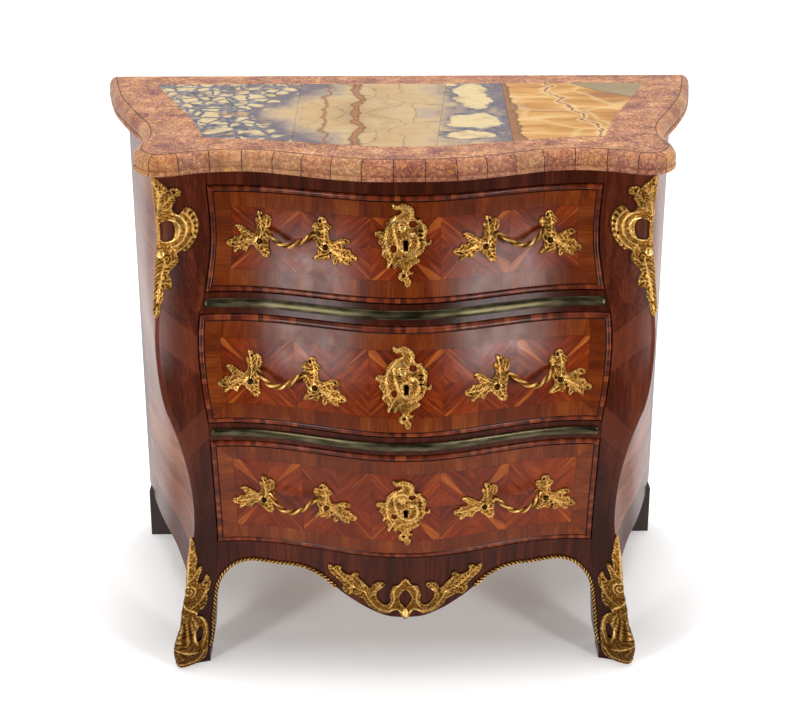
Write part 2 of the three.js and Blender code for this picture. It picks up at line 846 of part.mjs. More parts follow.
function chute() {
  const low = chuteTop - chuteHeight;
  const outline = places(chuteShares, chuteWidth, chuteHeight, 0, low);
  const hole = oval(
    chuteHoleShare.x * chuteWidth, low + chuteHoleShare.y * chuteHeight,
    chuteHoleShare.width * chuteWidth, chuteHoleShare.height * chuteHeight, holeSides,
  );
  const crown = domed(castingThickness, castingCrown);
  return casting(outline, [hole], cornerSkin, crown, castingMesh, bendLines);
}

// Foot mounts: a leaf that climbs the corner and a scrolled toe
const sabotShares = [
  [-0.1, 1], [-0.25, 0.93], [-0.3, 0.82], [-0.24, 0.72], [-0.42, 0.66], [-0.6, 0.5],
  [-0.72, 0.36], [-0.8, 0.2], [-0.8, 0.08], [-0.66, 0.02], [0.1, 0.004], [0.6, 0.02],
  [0.9, 0.08], [0.93, 0.2], [0.86, 0.32], [0.64, 0.38], [0.72, 0.46], [0.76, 0.58],
  [0.6, 0.67], [0.36, 0.63], [0.42, 0.74], [0.24, 0.8], [0.18, 0.9], [0.05, 0.98],
];
const sabotHoleShare = { x: 0.62, y: 0.24, width: 0.12, height: 0.04 };
const toeShare = { x: 0.05, y: 0.14, reach: 0.16 };

function sabot() {
  const outline = places(sabotShares, sabotWidth, sabotHeight);
  const hole = oval(
    sabotHoleShare.x * sabotWidth, sabotHoleShare.y * sabotHeight,
    sabotHoleShare.width * sabotWidth, sabotHoleShare.height * sabotHeight, holeSides,
  );
  const base = domed(castingThickness, castingCrown);
  const toe = at2(toeShare.x * sabotWidth, toeShare.y * sabotHeight);
  const crown = (p, inside) => {
    const away = p.distanceTo(toe) / (toeShare.reach * sabotHeight);
    return base(p, inside) + sabotToeStand * Math.max(1 - away * away, 0);
  };
  return casting(outline, [hole], cornerSkin, crown, toeMesh, bendLines);
}

// The apron mount: a pierced cartouche between two leaf sprays, half outline from its foot up
const sprayShares = [
  [0.06, 0.11], [0.11, 0.21], [0.16, 0.19], [0.2, 0.14], [0.3, 0.15], [0.4, 0.2],
  [0.49, 0.3], [0.51, 0.42], [0.58, 0.5], [0.69, 0.57], [0.8, 0.5], [0.82, 0.58],
  [0.79, 0.66], [0.91, 0.84], [1, 1], [0.92, 0.93], [0.84, 1], [0.8, 0.91], [0.66, 0.78],
  [0.62, 0.83], [0.56, 0.78], [0.51, 0.68], [0.44, 0.55], [0.37, 0.61], [0.3, 0.68],
  [0.23, 0.73], [0.19, 0.66], [0.25, 0.55], [0.31, 0.48], [0.33, 0.36], [0.29, 0.28],
  [0.22, 0.28], [0.19, 0.34], [0.19, 0.48], [0.14, 0.61], [0.07, 0.66], [0.03, 0.77],
];
const cartoucheTipShare = 0.83;
const cartoucheHoleShare = { y: 0.42, width: 0.07, height: 0.15 };

function apronMount() {
  const half = places(sprayShares, apronMountHalfWidth, apronMountHeight, 0, apronMountLow);
  const foot = at2(0, apronMountLow);
  const tip = at2(0, apronMountLow + apronMountHeight * cartoucheTipShare);
  const other = half.map((p) => at2(-p.x, p.y)).reverse();
  const hole = oval(
    0, apronMountLow + cartoucheHoleShare.y * apronMountHeight,
    cartoucheHoleShare.width * apronMountHalfWidth,
    cartoucheHoleShare.height * apronMountHeight, holeSides,
  );
  const outline = [foot, ...half, tip, ...other];
  return casting(outline, [hole], frontSkin, domed(castingThickness, castingCrown));
}

// Edging: a thin rope moulding along the arch and down the inner edge of the leg
const edgingStations = 24;
const edgingArchParts = 8;
const edgingStartShare = 0.9;
const edgingLegShares = [0.105, 0.08, 0.06, 0.04];

function edging() {
  const outer = apronMountHalfWidth * edgingStartShare;
  const along = new THREE.CatmullRomCurve3([
    ...steps(edgingArchParts).map((t) => {
      const x = mix(outer, apronArchHalfWidth - edgingWidth, t);
      return at(x, 0, archZ(x) + edgingWidth / 2);
    }),
    ...edgingLegShares.map((share) => {
      const z = share * carcaseTop;
      return at(openingX(z) + edgingWidth / 2, 0, z);
    }),
  ]);
  const rings = along.getSpacedPoints(edgingStations).map((p, i) => {
    const tangent = along.getTangentAt(i / edgingStations);
    const side = at(-tangent.z, 0, tangent.x).multiplyScalar(edgingWidth / 2);
    const [a, b] = [p.clone().add(side), p.clone().sub(side)];
    const skin = (q, lift) => frontSkin(q.x, q.z, lift);
    return [
      skin(a, mountGap), skin(a, edgingWidth / 2), skin(p, edgingWidth),
      skin(b, edgingWidth / 2), skin(b, mountGap),
    ];
  });
  return loft(rings);
}

// Brass strips let along the middle of the rails between drawers
const stripStations = 22;
const stripArcs = 4;
const stripEndShares = [0, 0.12, 0.5, 1];
const stripRimShare = 0.2;

function brassStrip(low, high) {
  const middle = (low + high) / 2;
  const reach = openingX(middle) - drawerSideInset / 2;
  const rounding = stripHeight / 2;
  const ends = stripEndShares.map((share) => reach - share * rounding);
  const run = steps(stripStations).slice(1, -1).map((t) => mix(-1, 1, t) * (reach - rounding));
  return loft([...ends.map((x) => -x), ...run, ...ends.reverse()].map((x) => {
    const fromEnd = Math.min(reach - Math.abs(x), rounding) / rounding;
    const half = rounding * Math.max(Math.sqrt(1 - (1 - fromEnd) ** 2), stripRimShare);
    const arc = steps(stripArcs).map((s) => {
      const turn = mix(-Math.PI / 2, Math.PI / 2, s);
      const z = middle + half * Math.sin(turn);
      const stand = Math.max(Math.cos(turn) * (half / rounding), stripRimShare / 2);
      return frontSkin(x, z, mountGap + stripStand * stand);
    });
    return [
      frontSkin(x, middle - half, mountGap), ...arc, frontSkin(x, middle + half, mountGap),
    ];
  }));
}

// Drawer fronts: serpentine and bombé outside, ruled upright inside, with rounded edges
const frontStations = 25;
const edgeMidShare = 0.3;

function frontInnerOffset(opening) {
  const swell = levels(opening.low, opening.high).map((z) => {
    return bellyBulge * swellShare(z / carcaseTop);
  });
  return -frontDepth - Math.min(...swell) + frontMinThickness;
}

function drawerFrontBlank(opening) {
  const low = opening.low + drawerGap;
  const high = opening.high - drawerGap;
  const inner = frontInnerOffset(opening);
  const edge = frontEdgeRound;
  const rows = [
    [low, edge], [low + edge * edgeMidShare, edge * edgeMidShare],
    [low + edge, 0], ...levels(opening.low, opening.high).slice(1, -1).map((z) => [z, 0]),
    [high - edge, 0],
    [high - edge * edgeMidShare, edge * edgeMidShare], [high, edge],
  ];
  const half = (z) => openingX(z) - drawerGap;
  const innerHalf = Math.min(...levels(opening.low, opening.high).map(half));
  const middleShares = steps(frontStations).map((t) => mix(-1, 1, t));
  const endShare = (edge / openingHalfWidth) * edgeMidShare;
  const endDrop = edge * edgeMidShare;
  const stations = [
    [-1, edge], [-1 + endShare, endDrop], ...middleShares.slice(1, -1).map((s) => [s, 0]),
    [1 - endShare, endDrop], [1, edge],
  ];
  return loft(stations.map(([share, stationDrop]) => {
    const outer = rows.map(([z, rowDrop]) => {
      const x = share * half(z);
      return at(x, frontY(x, z) - frontProud + Math.max(stationDrop, rowDrop), z);
    });
    const x = share * innerHalf;
    return [...outer, at(x, planWave(x) + inner, high), at(x, planWave(x) + inner, low)];
  }));
}

// Keyhole: a round head above a straight slot
const keyholeArcs = 8;

function keyholeOutline(x, z, clearance = 0) {
  const radius = keyholeRadius + clearance;
  const slot = keyholeSlot / 2 + clearance;
  const foot = z - keyholeLength + keyholeRadius - clearance;
  const spread = Math.asin(slot / radius);
  const head = steps(keyholeArcs).map((t) => {
    const turn = mix(spread, Math.PI * 2 - spread, t) - Math.PI / 2;
    return at2(x + radius * Math.cos(turn), z + radius * Math.sin(turn));
  });
  return [...head, at2(x - slot, foot), at2(x + slot, foot)];
}

function lockOutline(high, keyZ, clearance) {
  const half = lockWidth / 2 + clearance;
  const wide = selvedgeWidth / 2 + clearance;
  const shoulder = high - selvedgeHeight - clearance;
  const foot = keyZ - lockBelowKey - clearance;
  const top = high + (clearance > 0 ? overrun : 0);
  return [
    at2(-half, foot), at2(half, foot), at2(half, shoulder), at2(wide, shoulder),
    at2(wide, top), at2(-wide, top), at2(-wide, shoulder), at2(-half, shoulder),
  ];
}

// Tails on the front ends of the drawer sides, as outlines in (y, z)
const tailCount = 3;

function tails(low, high, shoulderY, slack) {
  const pitch = (high - low) / tailCount;
  return steps(tailCount).slice(0, -1).map((t) => {
    const middle = mix(low, high, t) + pitch / 2;
    const narrow = dovetailHeight / 2 - dovetailSlope + slack;
    const wide = dovetailHeight / 2 + slack;
    const tip = shoulderY - dovetailLength - slack;
    return [
      at2(shoulderY, middle - narrow), at2(shoulderY, middle + narrow),
      at2(tip, middle + wide), at2(tip, middle - wide),
    ];
  });
}

// Leaf plate of a handle about its bolt, in shares of its half width; the right plate mirrors it
const leafHalfWidth = 46;
const leafShares = [
  [0.03, 1], [0.36, 0.76], [0.28, 0.42], [0.36, 0.26], [0.32, -0.38], [0.22, -0.5],
  [-0.12, -0.24], [-0.26, -0.1], [-0.4, -0.34], [-0.52, -0.26], [-0.8, -0.38], [-1, -0.06],
  [-0.58, 0.14], [-0.76, 0.42], [-0.6, 0.5], [-0.18, 0.24], [-0.08, 0.6], [-0.12, 0.72],
];
const plateTurn = THREE.MathUtils.degToRad(6);

function leafPlate(x, z, side, skin) {
  const outline = leafShares.map(([u, v]) => {
    const p = at2(u * leafHalfWidth, v * leafHalfWidth).rotateAround(at2(0, 0), -plateTurn);
    return at2(x + side * p.x, z + p.y);
  });
  return casting(outline, [], skin, domed(plateThickness, castingCrown));
}

// The bow springs from the inner lobe of each plate, hangs in a curve and stands off the front
const bowShares = [
  [-1, 0.75, 0.18], [-0.86, 0.98, 0.32], [-0.7, 0.75, 0.65], [-0.39, 0.25, 0.93], [0, 0, 1],
  [0.39, 0.25, 0.93], [0.7, 0.75, 0.65], [0.86, 0.98, 0.32], [1, 0.75, 0.18],
];
const bowSections = 10;
const bowSides = 6;
const boltSides = 6;
const seatSides = 8;

function bow(x, z, skin) {
  const path = new THREE.CatmullRomCurve3(bowShares.map(([across, up, out]) => {
    return skin(x + across * bowHalfSpan, z + up * bowSag, out * bowStand);
  }));
  const section = new THREE.Shape(oval(0, 0, bowRadius, bowRadius, bowSides));
  return new THREE.ExtrudeGeometry(section, { steps: bowSections, extrudePath: path });
}

function handle(x, z, inner) {
  const skin = (u, v, lift) => frontSkin(u, v, lift, frontProud);
  const pieces = [bow(x, z, skin)];
  for (const side of [-1, 1]) {
    const boltX = x + side * handleHalfSpan;
    const face = frontY(boltX, z) - frontProud;
    const seat = planWave(boltX) + inner - nutSeatDepth + jointGap;
    pieces.push(leafPlate(boltX, z, -side, skin));
    const headY = face - plateThickness - boltHeadStand;
    const shankBack = seat + nutThickness + shankEnd;
    pieces.push(rod(boltHeadRadius, boltX, z, headY, headY + boltHeadThickness, boltSides));
    pieces.push(rod(shankRadius, boltX, z, face - plateThickness, shankBack, boltSides));
    pieces.push(rod(nutRadius, boltX, z, seat, seat + nutThickness, boltSides));
  }
  return join(pieces);
}

// Key plates: a shaped rococo cartouche about the keyhole
const escutcheonShares = [
  [-0.453, 0.477], [-0.127, 0.478], [0.2, 0.418], [0.254, 0.35], [0.363, 0.265], [0.517, 0.274],
  [0.671, 0.14], [0.617, 0.03],
  [0.798, 0.02], [0.59, -0.05], [0.29, -0.17], [0.435, -0.21], [0.091, -0.33], [0.054, -0.4],
  [0.109, -0.46], [-0.036, -0.52], [-0.218, -0.42], [-0.109, -0.33], [-0.327, -0.3],
  [-0.49, -0.22], [-0.562, -0.3], [-0.653, -0.18], [-0.78, -0.14], [-0.798, -0.03],
  [-0.998, 0.095], [-0.671, 0.14], [-0.408, 0.31], [-0.109, 0.37], [-0.327, 0.405],
];
const piercedShares = [{ x: 0.227, y: 0.21, r: 0.1 }, { x: -0.408, y: -0.08, r: 0.091 }];

function escutcheon(z) {
  const skin = (u, v, lift) => frontSkin(u, v, lift, frontProud);
  const outline = places(escutcheonShares, escutcheonHalfWidth, escutcheonHeight, 0, z);
  const holes = piercedShares.map(({ x, y, r }) => {
    const radius = r * escutcheonHalfWidth;
    return oval(x * escutcheonHalfWidth, z + y * escutcheonHeight, radius, radius, smallHoleSides);
  });
  holes.push(keyholeOutline(0, z));
  return casting(outline, holes, skin, domed(castingThickness, castingCrown));
}

// Where every cut through a drawer front starts
const frontCutY = -frontDepth - bellyBulge - overrun;

// One drawer: where its handles hang and how its pieces go together
function drawer(group, name, opening, { handleShare, keyShare }) {
  const handleX = handleShare.across * openingHalfWidth;
  const handleZ = mix(opening.low, opening.high, handleShare.up);
  const keyZ = mix(opening.low, opening.high, keyShare);
  const inner = frontInnerOffset(opening);
  const low = opening.low + runningGap;
  const top = opening.high - drawerSideDrop;
  const rearY = backFrontY - drawerBackGap;
  const halfInside = drawerHalfWidth - drawerBoard;
  const sideStartY = Math.max(planWave(drawerHalfWidth), planWave(halfInside)) + inner + jointGap;
  const frontHigh = opening.high - drawerGap;
  const lockFrontY = inner - lockDepth;
  const nuts = [];
  for (const side of [-1, 1]) {
    for (const end of [-1, 1]) {
      const x = side * handleX + end * handleHalfSpan;
      const seat = planWave(x) + inner - nutSeatDepth;
      nuts.push(rod(shankRadius + shankGap, x, handleZ, frontCutY, seat + shankEnd, seatSides));
      nuts.push(rod(nutSeatRadius, x, handleZ, seat, seat + overrun, seatSides));
    }
  }
  const sockets = [-1, 1].flatMap((side) => tails(low, top, sideStartY, jointGap).map((tail) => {
    const from = side * (drawerHalfWidth - drawerBoard / 2);
    const half = drawerBoard / 2 + jointGap;
    const open = tail.map((p) => at2(p.y > 0 && p.x === sideStartY ? p.x + overrun : p.x, p.y));
    return acrossWidth(open, from - half, from + half);
  }));
  const pocketOutline = lockOutline(frontHigh, keyZ, jointGap);
  const lockPocket = throughDepth(pocketOutline, lockFrontY - jointGap, inner + overrun);
  const keyCut = throughDepth(keyholeOutline(0, keyZ), frontCutY, inner);
  const front = cut(drawerFrontBlank(opening), [...nuts, ...sockets, lockPocket, keyCut]);
  add(group, `drawer_${name}_front`, front, frontVeneer);

  const board = [at2(sideStartY, low), at2(rearY, low), at2(rearY, top), at2(sideStartY, top)];
  const sidePieces = [board, ...tails(low, top, sideStartY + jointGap / 2, 0)];
  const side = join(sidePieces.map((p) => acrossWidth(p, halfInside, drawerHalfWidth)));
  addPair(group, `drawer_${name}_side`, side, pine);

  const floorTop = low + drawerBottomThickness + jointGap;
  const edge = steps(railStations).map((t) => {
    const x = mix(-halfInside, halfInside, t);
    return at2(x, planWave(x) + inner + shapedGap);
  });
  const floorOutline = [...edge, at2(halfInside, rearY), at2(-halfInside, rearY)];
  add(group, `drawer_${name}_bottom`, upright(floorOutline, low + jointGap, floorTop), pine);
  const backLow = at(-halfInside, rearY - drawerBoard, floorTop);
  add(group, `drawer_${name}_back`, block(backLow, at(halfInside, rearY, top)), pine);

  add(group, `handle_${name}_right`, handle(handleX, handleZ, inner), giltBronze);
  add(group, `handle_${name}_left`, mirrored(handle(handleX, handleZ, inner)), giltBronze);
  add(group, `escutcheon_${name}`, escutcheon(keyZ), giltBronze);

  const boltY = inner - lockDepth / 2;
  const slotLow = keyZ + boltAboveKey;
  const slot = block(
    at(-boltWidth / 2 - jointGap, boltY - boltDepth / 2 - jointGap, slotLow),
    at(boltWidth / 2 + jointGap, boltY + boltDepth / 2 + jointGap, frontHigh + overrun),
  );
  const caseBody = throughDepth(lockOutline(frontHigh, keyZ, 0), lockFrontY, inner);
  const keySocket = throughDepth(keyholeOutline(0, keyZ), lockFrontY - overrun, boltY);
  add(group, `lock_case_${name}`, cut(caseBody, [slot, keySocket]), iron);
  return { group, boltY, boltTop: frontHigh, slotLow };
}

// The bolt that rises from the lock into the rail above
function lockBolt(group, name, { boltY, boltTop, slotLow }) {
  const bolt = block(
    at(-boltWidth / 2, boltY - boltDepth / 2, slotLow + jointGap),
    at(boltWidth / 2, boltY + boltDepth / 2, boltTop),
  );
  add(group, `lock_bolt_${name}`, bolt, iron);
}

// The slot that a raised bolt enters, in the underside of a rail
function mortise({ boltY }, low) {
  return block(
    at(-boltWidth / 2 - guideGap, boltY - boltDepth / 2 - guideGap, low - overrun),
    at(boltWidth / 2 + guideGap, boltY + boltDepth / 2 + guideGap, low + boltTravel + guideGap),
  );
}

// Assembly
const commode = new THREE.Group();
const fittingShares = {
  upper: { handleShare: { across: 0.575, up: 0.481 }, keyShare: 0.563 },
  middle: { handleShare: { across: 0.635, up: 0.422 }, keyShare: 0.488 },
  lower: { handleShare: { across: 0.589, up: 0.446 }, keyShare: 0.477 },
};
const drawers = {};
for (const [name, opening] of Object.entries(openings)) {
  const group = new THREE.Group();
  commode.add(group);
  drawers[name] = drawer(group, name, opening, fittingShares[name]);
  lockBolt(group, name, drawers[name]);
}

const carcase = new THREE.Group();
commode.add(carcase);
stoneTop(carcase);
addPair(carcase, 'side_panel', sidePanel(), sideVeneer);
addPair(carcase, 'front_stile', stile(), stileVeneer);
addPair(carcase, 'rear_post', rearPost(), darkPost);
addPair(carcase, 'guide_panel', guidePanel(), pine);
add(carcase, 'back_panel', backPanel(), pine);
const rails = [
  ['frieze_rail', openings.upper.high, carcaseTop, drawers.upper],
  ['traverse_upper', openings.middle.high, openings.upper.low, drawers.middle],
  ['traverse_lower', openings.lower.high, openings.middle.low, drawers.lower],
];
for (const [name, low, high, below] of rails) {
  add(carcase, name, cut(rail(low, high), [mortise(below, low)]), stileVeneer);
}
for (const [name, low, high] of rails.slice(1)) {
  const level = name.replace('traverse_', '');
  add(carcase, `brass_strip_${level}`, brassStrip(low, high), agedBrass);
  add(carcase, `dust_board_${level}`, dustBoard(high), pine);
}
add(carcase, 'bottom_board', bottomBoard(), pine);
add(carcase, 'apron', apron(), stileVeneer);
add(carcase, 'apron_mount', apronMount(), giltBronze);
addPair(carcase, 'chute', chute(), giltBronze);
addPair(carcase, 'sabot', sabot(), giltBronze);
addPair(carcase, 'edging', edging(), giltBronze);

// The frame's origin is under the middle of the whole piece, on the floor
const box = new THREE.Box3().setFromObject(commode);
const centre = box.getCenter(at(0, 0));
commode.position.set(-centre.x, -centre.y, 0);

export default commode;
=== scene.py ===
"""A bombé commode chest: fine surfaces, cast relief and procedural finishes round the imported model.

Metres, +Z up, the front looks along -Y. Depths are counted from the back plane.
"""

import math

import bpy
import numpy as np
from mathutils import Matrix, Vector
from mathutils.geometry import delaunay_2d_cdt
from mathutils.kdtree import KDTree


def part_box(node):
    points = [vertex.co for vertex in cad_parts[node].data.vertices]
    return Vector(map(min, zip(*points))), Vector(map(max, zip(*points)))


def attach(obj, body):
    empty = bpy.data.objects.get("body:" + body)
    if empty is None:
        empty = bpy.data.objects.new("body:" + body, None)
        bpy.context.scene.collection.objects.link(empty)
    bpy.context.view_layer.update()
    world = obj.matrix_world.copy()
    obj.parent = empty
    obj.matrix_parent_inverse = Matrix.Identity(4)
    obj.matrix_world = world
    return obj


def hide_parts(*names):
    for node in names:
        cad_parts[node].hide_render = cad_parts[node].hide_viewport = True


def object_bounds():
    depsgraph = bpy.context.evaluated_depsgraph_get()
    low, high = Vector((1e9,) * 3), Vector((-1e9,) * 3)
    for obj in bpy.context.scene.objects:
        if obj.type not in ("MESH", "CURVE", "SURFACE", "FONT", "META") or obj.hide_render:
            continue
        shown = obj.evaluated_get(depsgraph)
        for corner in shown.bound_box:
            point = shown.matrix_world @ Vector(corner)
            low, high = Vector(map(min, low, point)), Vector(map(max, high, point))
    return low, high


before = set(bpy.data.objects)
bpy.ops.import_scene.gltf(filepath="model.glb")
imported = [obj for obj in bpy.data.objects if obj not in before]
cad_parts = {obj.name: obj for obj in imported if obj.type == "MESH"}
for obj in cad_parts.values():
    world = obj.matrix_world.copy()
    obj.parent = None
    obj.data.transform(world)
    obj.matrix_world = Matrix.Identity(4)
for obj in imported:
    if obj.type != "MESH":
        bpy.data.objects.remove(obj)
cad_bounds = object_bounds()

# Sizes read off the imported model
(_, _, CASE_TOP), (STONE_HALF, BACK, TOP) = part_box("marble_slab")
STONE_DEPTH = 0.56
STONE_THICK = TOP - CASE_TOP
OPENINGS = {"upper": (0.626, 0.784), "middle": (0.431, 0.597), "lower": (0.209, 0.402)}

# Driving sizes of the swelling case
REAR_HALF, FRONT_DEPTH, BELLY = 0.461, 0.535, 0.047
WAIST_HALF, SHOULDER = 0.328, 0.038
OPENING_HALF, OPENING_FLARE = 0.285, 0.026
WAVE_HALF, WAVE_DEPTH, EAR_WIDTH, EAR_RETURN = 0.262, 0.06, 0.098, 0.025
ARRIS = 0.008
STILE_BACK = -0.442
RAIL_BACK = -0.47
SIDE_THICK, SIDE_REAR_THICK, SIDE_ARCH_HIGH, POST_DEPTH = 0.02, 0.024, 0.098, 0.045
APRON_ARCH_HIGH, APRON_THICK = 0.175, 0.022
GAP, DRAWER_GAP = 0.0006, 0.0015
FRONT_PROUD = 0.003


def between(value, low, high):
    """0 below low, 1 above high and a straight rise from one to the other."""
    return np.clip((value - low) / (high - low), 0, 1)


def smooth_table(rows):
    """A smooth curve through rows of (place, value), as value(place) on arrays."""
    px, py = np.array(rows, float).T
    last = len(px) - 1
    before = np.maximum(np.arange(last + 1) - 1, 0)
    after = np.minimum(np.arange(last + 1) + 1, last)
    slope = (py[after] - py[before]) / (px[after] - px[before])

    def value(place):
        i = np.clip(np.searchsorted(px, place, side="left") - 1, 0, last - 1)
        span = px[i + 1] - px[i]
        t = np.clip((place - px[i]) / span, 0, 1)
        rise = t * t * (3 - 2 * t)
        pull = t * (1 - t) ** 2 * slope[i] + t * t * (t - 1) * slope[i + 1]
        return py[i] * (1 - rise) + py[i + 1] * rise + span * pull

    return value


swell_share = smooth_table([
    (0, 0.11), (0.037, 0.21), (0.148, -0.04), (0.247, 0), (0.321, 0.21), (0.42, 0.66),
    (0.519, 1), (0.617, 1), (0.716, 0.64), (0.815, 0.11), (0.914, -0.106), (1, 0)])
corner_share = smooth_table([
    (0, 0.79), (0.037, 0.763), (0.062, 0.697), (0.111, 0.579), (0.148, 0.421), (0.222, 0.25),
    (0.296, 0), (0.395, 0), (0.481, 0.237), (0.543, 0.553), (0.568, 0.711), (0.617, 0.882),
    (0.691, 1), (0.741, 0.974), (0.815, 0.868), (0.877, 0.763), (1, 0.842)])
opening_share = smooth_table([
    (0, 1), (0.025, 0.96), (0.049, 0.73), (0.105, 0.577), (0.16, 0.5), (0.247, 0.323),
    (0.37, 0.292), (0.494, 0.323), (0.531, 0.346), (0.605, 0.615), (0.679, 0.769),
    (0.735, 0.669), (0.772, 0.37), (0.864, 0), (0.963, 0.092), (1, 0.115)])
side_share = smooth_table([
    (0, 0), (0.1, -0.06), (0.25, 0), (0.41, 0.21), (0.584, 0.51), (0.81, 0.79), (1, 1)])
side_low_share = smooth_table([
    (0, 0.305), (0.04, 0.539), (0.1, 0.682), (0.18, 0.781), (0.34, 0.898), (0.45, 0.988),
    (0.545, 1), (0.77, 0.92), (0.9, 0.898), (1, 0.898)])
ARCH_RISE = [
    (0.427, 0.915), (0.538, 0.983), (0.69, 0.985), (0.806, 1), (0.89, 0.96), (0.953, 0.875),
    (1, 0.74)]
arch_share = smooth_table([(0, 0.5), (0.14, 0.535), (0.242, 0.64), (0.34, 0.8), *ARCH_RISE])
apron_share = smooth_table([
    (0, 0.598), (0.1, 0.612), (0.2, 0.672), (0.28, 0.742), (0.34, 0.805), *ARCH_RISE])


def corner_x(z):
    return WAIST_HALF + SHOULDER * corner_share(z / CASE_TOP)


def opening_x(z):
    return OPENING_HALF + OPENING_FLARE * opening_share(z / CASE_TOP)


APRON_ARCH_HALF = float(opening_x(np.array(0.74 * APRON_ARCH_HIGH))) - GAP


def plan_wave(x):
    """How far the serpentine front falls back from its middle."""
    out = np.abs(x)
    inner = WAVE_DEPTH / 2 * (1 - np.cos(np.pi * out / WAVE_HALF))
    ear = WAVE_DEPTH - EAR_RETURN * ((out - WAVE_HALF) / EAR_WIDTH) ** 2
    return np.where(out < WAVE_HALF, inner, ear)


def front_y(x, z):
    return BACK + plan_wave(x) - FRONT_DEPTH - BELLY * swell_share(z / CASE_TOP)


def corner_y(z):
    return front_y(corner_x(z), z)


def side_x(y, z):
    share = 1 - (y - BACK) / (corner_y(z) - BACK)
    return corner_x(z) + (REAR_HALF - corner_x(z)) * side_share(share)


def arch_z(x):
    return APRON_ARCH_HIGH * arch_share(np.abs(x) / APRON_ARCH_HALF)


def stack(x, y, z):
    return np.stack(np.broadcast_arrays(x, y, z), axis=-1).astype(float)


def unit(v):
    return v / np.maximum(np.linalg.norm(v, axis=-1, keepdims=True), 1e-12)


STEP = 0.0005


def front_skin(x, z, lift, proud=0.0):
    """Places lifted off the case's front at (x, z), or off one that stands proud of it."""
    x, z, lift = np.broadcast_arrays(np.asarray(x, float), z, lift)
    y = front_y(x, z)
    across = (front_y(x + STEP, z) - y) / STEP
    up = (front_y(x, z + STEP) - y) / STEP
    normal = unit(stack(across, -1.0, up))
    return stack(x, y - proud, z) + normal * lift[..., None]


def corner_point(u, z):
    """Round the right front corner: u runs from the arris over the face (+) or the side (-)."""
    cx, cy = corner_x(z), corner_y(z)
    face = stack(cx - u, front_y(cx - u, z), z)
    side = stack(side_x(cy - u, z), cy - u, z)
    one = stack(cx - ARRIS, front_y(cx - ARRIS, z), z)
    two = stack(side_x(cy + ARRIS, z), cy + ARRIS, z)
    tip = stack(cx, cy, z)
    t = 1 - between(u, -ARRIS, ARRIS)[..., None]
    first = one * (1 - t) + tip * t
    bend = first * (1 - t) + (tip * (1 - t) + two * t) * t
    u = u[..., None]
    return np.where(u >= ARRIS, face, np.where(u <= -ARRIS, side, bend))


def corner_skin(u, z, lift):
    """Places lifted off the right front corner, as corner_point counts them."""
    u, z, lift = np.broadcast_arrays(np.asarray(u, float), z, lift)
    inward = corner_point(u + STEP, z) - corner_point(u - STEP, z)
    up = corner_point(u, z + STEP) - corner_point(u, z - STEP)
    return corner_point(u, z) + unit(np.cross(up, inward)) * lift[..., None]


# Meshes
def new_object(name, data):
    made = bpy.data.objects.new(name, data)
    bpy.context.collection.objects.link(made)
    return made


def new_mesh(name, verts, faces, *materials):
    mesh = bpy.data.meshes.new(name)
    mesh.from_pydata(np.asarray(verts, float).tolist(), [], [tuple(map(int, f)) for f in faces])
    for material in materials:
        mesh.materials.append(material)
    return mesh


def put(name, verts, faces, material, body, nodes, fields=None, angle=35, flip=False):
    """A new piece of the object in place of nodes; fields are named values at its vertices."""
    if flip:
        faces = [tuple(reversed(f)) for f in faces]
    mesh = new_mesh(name, verts, faces, material)
    for key, values in (fields or {}).items():
        layer = mesh.attributes.new(key, "FLOAT", "POINT")
        layer.data.foreach_set("value", np.asarray(values, np.float32).ravel())
    mesh.shade_smooth()
    mesh.set_sharp_from_angle(angle=math.radians(angle))
    mesh.update()
    piece = new_object(name, mesh)
    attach(piece, body)
    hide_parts(*nodes)


def grid_faces(rows, columns, closed=False, start=0):
    """Quads of a grid of rows by columns, joined round from the last column where it is closed."""
    faces = []
    for r in range(rows - 1):
        for c in range(columns if closed else columns - 1):
            a = start + r * columns + c
            b = start + r * columns + (c + 1) % columns
            faces.append((a, b, b + columns, a + columns))
    return faces


def loft(rings):
    """Vertices and faces of a closed solid through rings of equal length."""
    rings = np.asarray(rings, float)
    rows, columns = rings.shape[:2]
    faces = grid_faces(rows, columns, closed=True)
    faces.append(tuple(range(columns - 1, -1, -1)))
    faces.append(tuple(range((rows - 1) * columns, rows * columns)))
    verts = rings.reshape(-1, 3)
    return verts, outward(verts, faces)


def outward(verts, faces):
    """The same faces, turned so that the solid encloses a positive volume."""
    volume = 0.0
    for f in faces:
        p = verts[list(f)]
        for i in range(1, len(f) - 1):
            volume += np.dot(p[0], np.cross(p[i], p[i + 1]))
    return faces if volume > 0 else [tuple(reversed(f)) for f in faces]


def mirror(verts):
    return verts * np.array([-1.0, 1.0, 1.0])


def both(name, verts, faces, material, node, fields, angle=35):
    """The right piece of the case and its mirror image, each in place of its CAD node."""
    put(f"{name}_fine_right", verts, faces, material, "carcase", [f"{node}_right"],
        fields, angle)
    put(f"{name}_fine_left", mirror(verts), faces, material, "carcase", [f"{node}_left"],
        fields, angle, flip=True)


# Shaders
def rgb(text):
    """A colour written as its sRGB hex digits, as linear values."""
    parts = [int(text[i:i + 2], 16) / 255 for i in (0, 2, 4)]
    linear = [p / 12.92 if p <= 0.04045 else ((p + 0.055) / 1.055) ** 2.4 for p in parts]
    return (*linear, 1.0)


def operation(name):
    """A method that puts a math node of this name behind its values."""
    def apply(self, *others):
        return self.nodes.math(name, self, *others)
    return apply


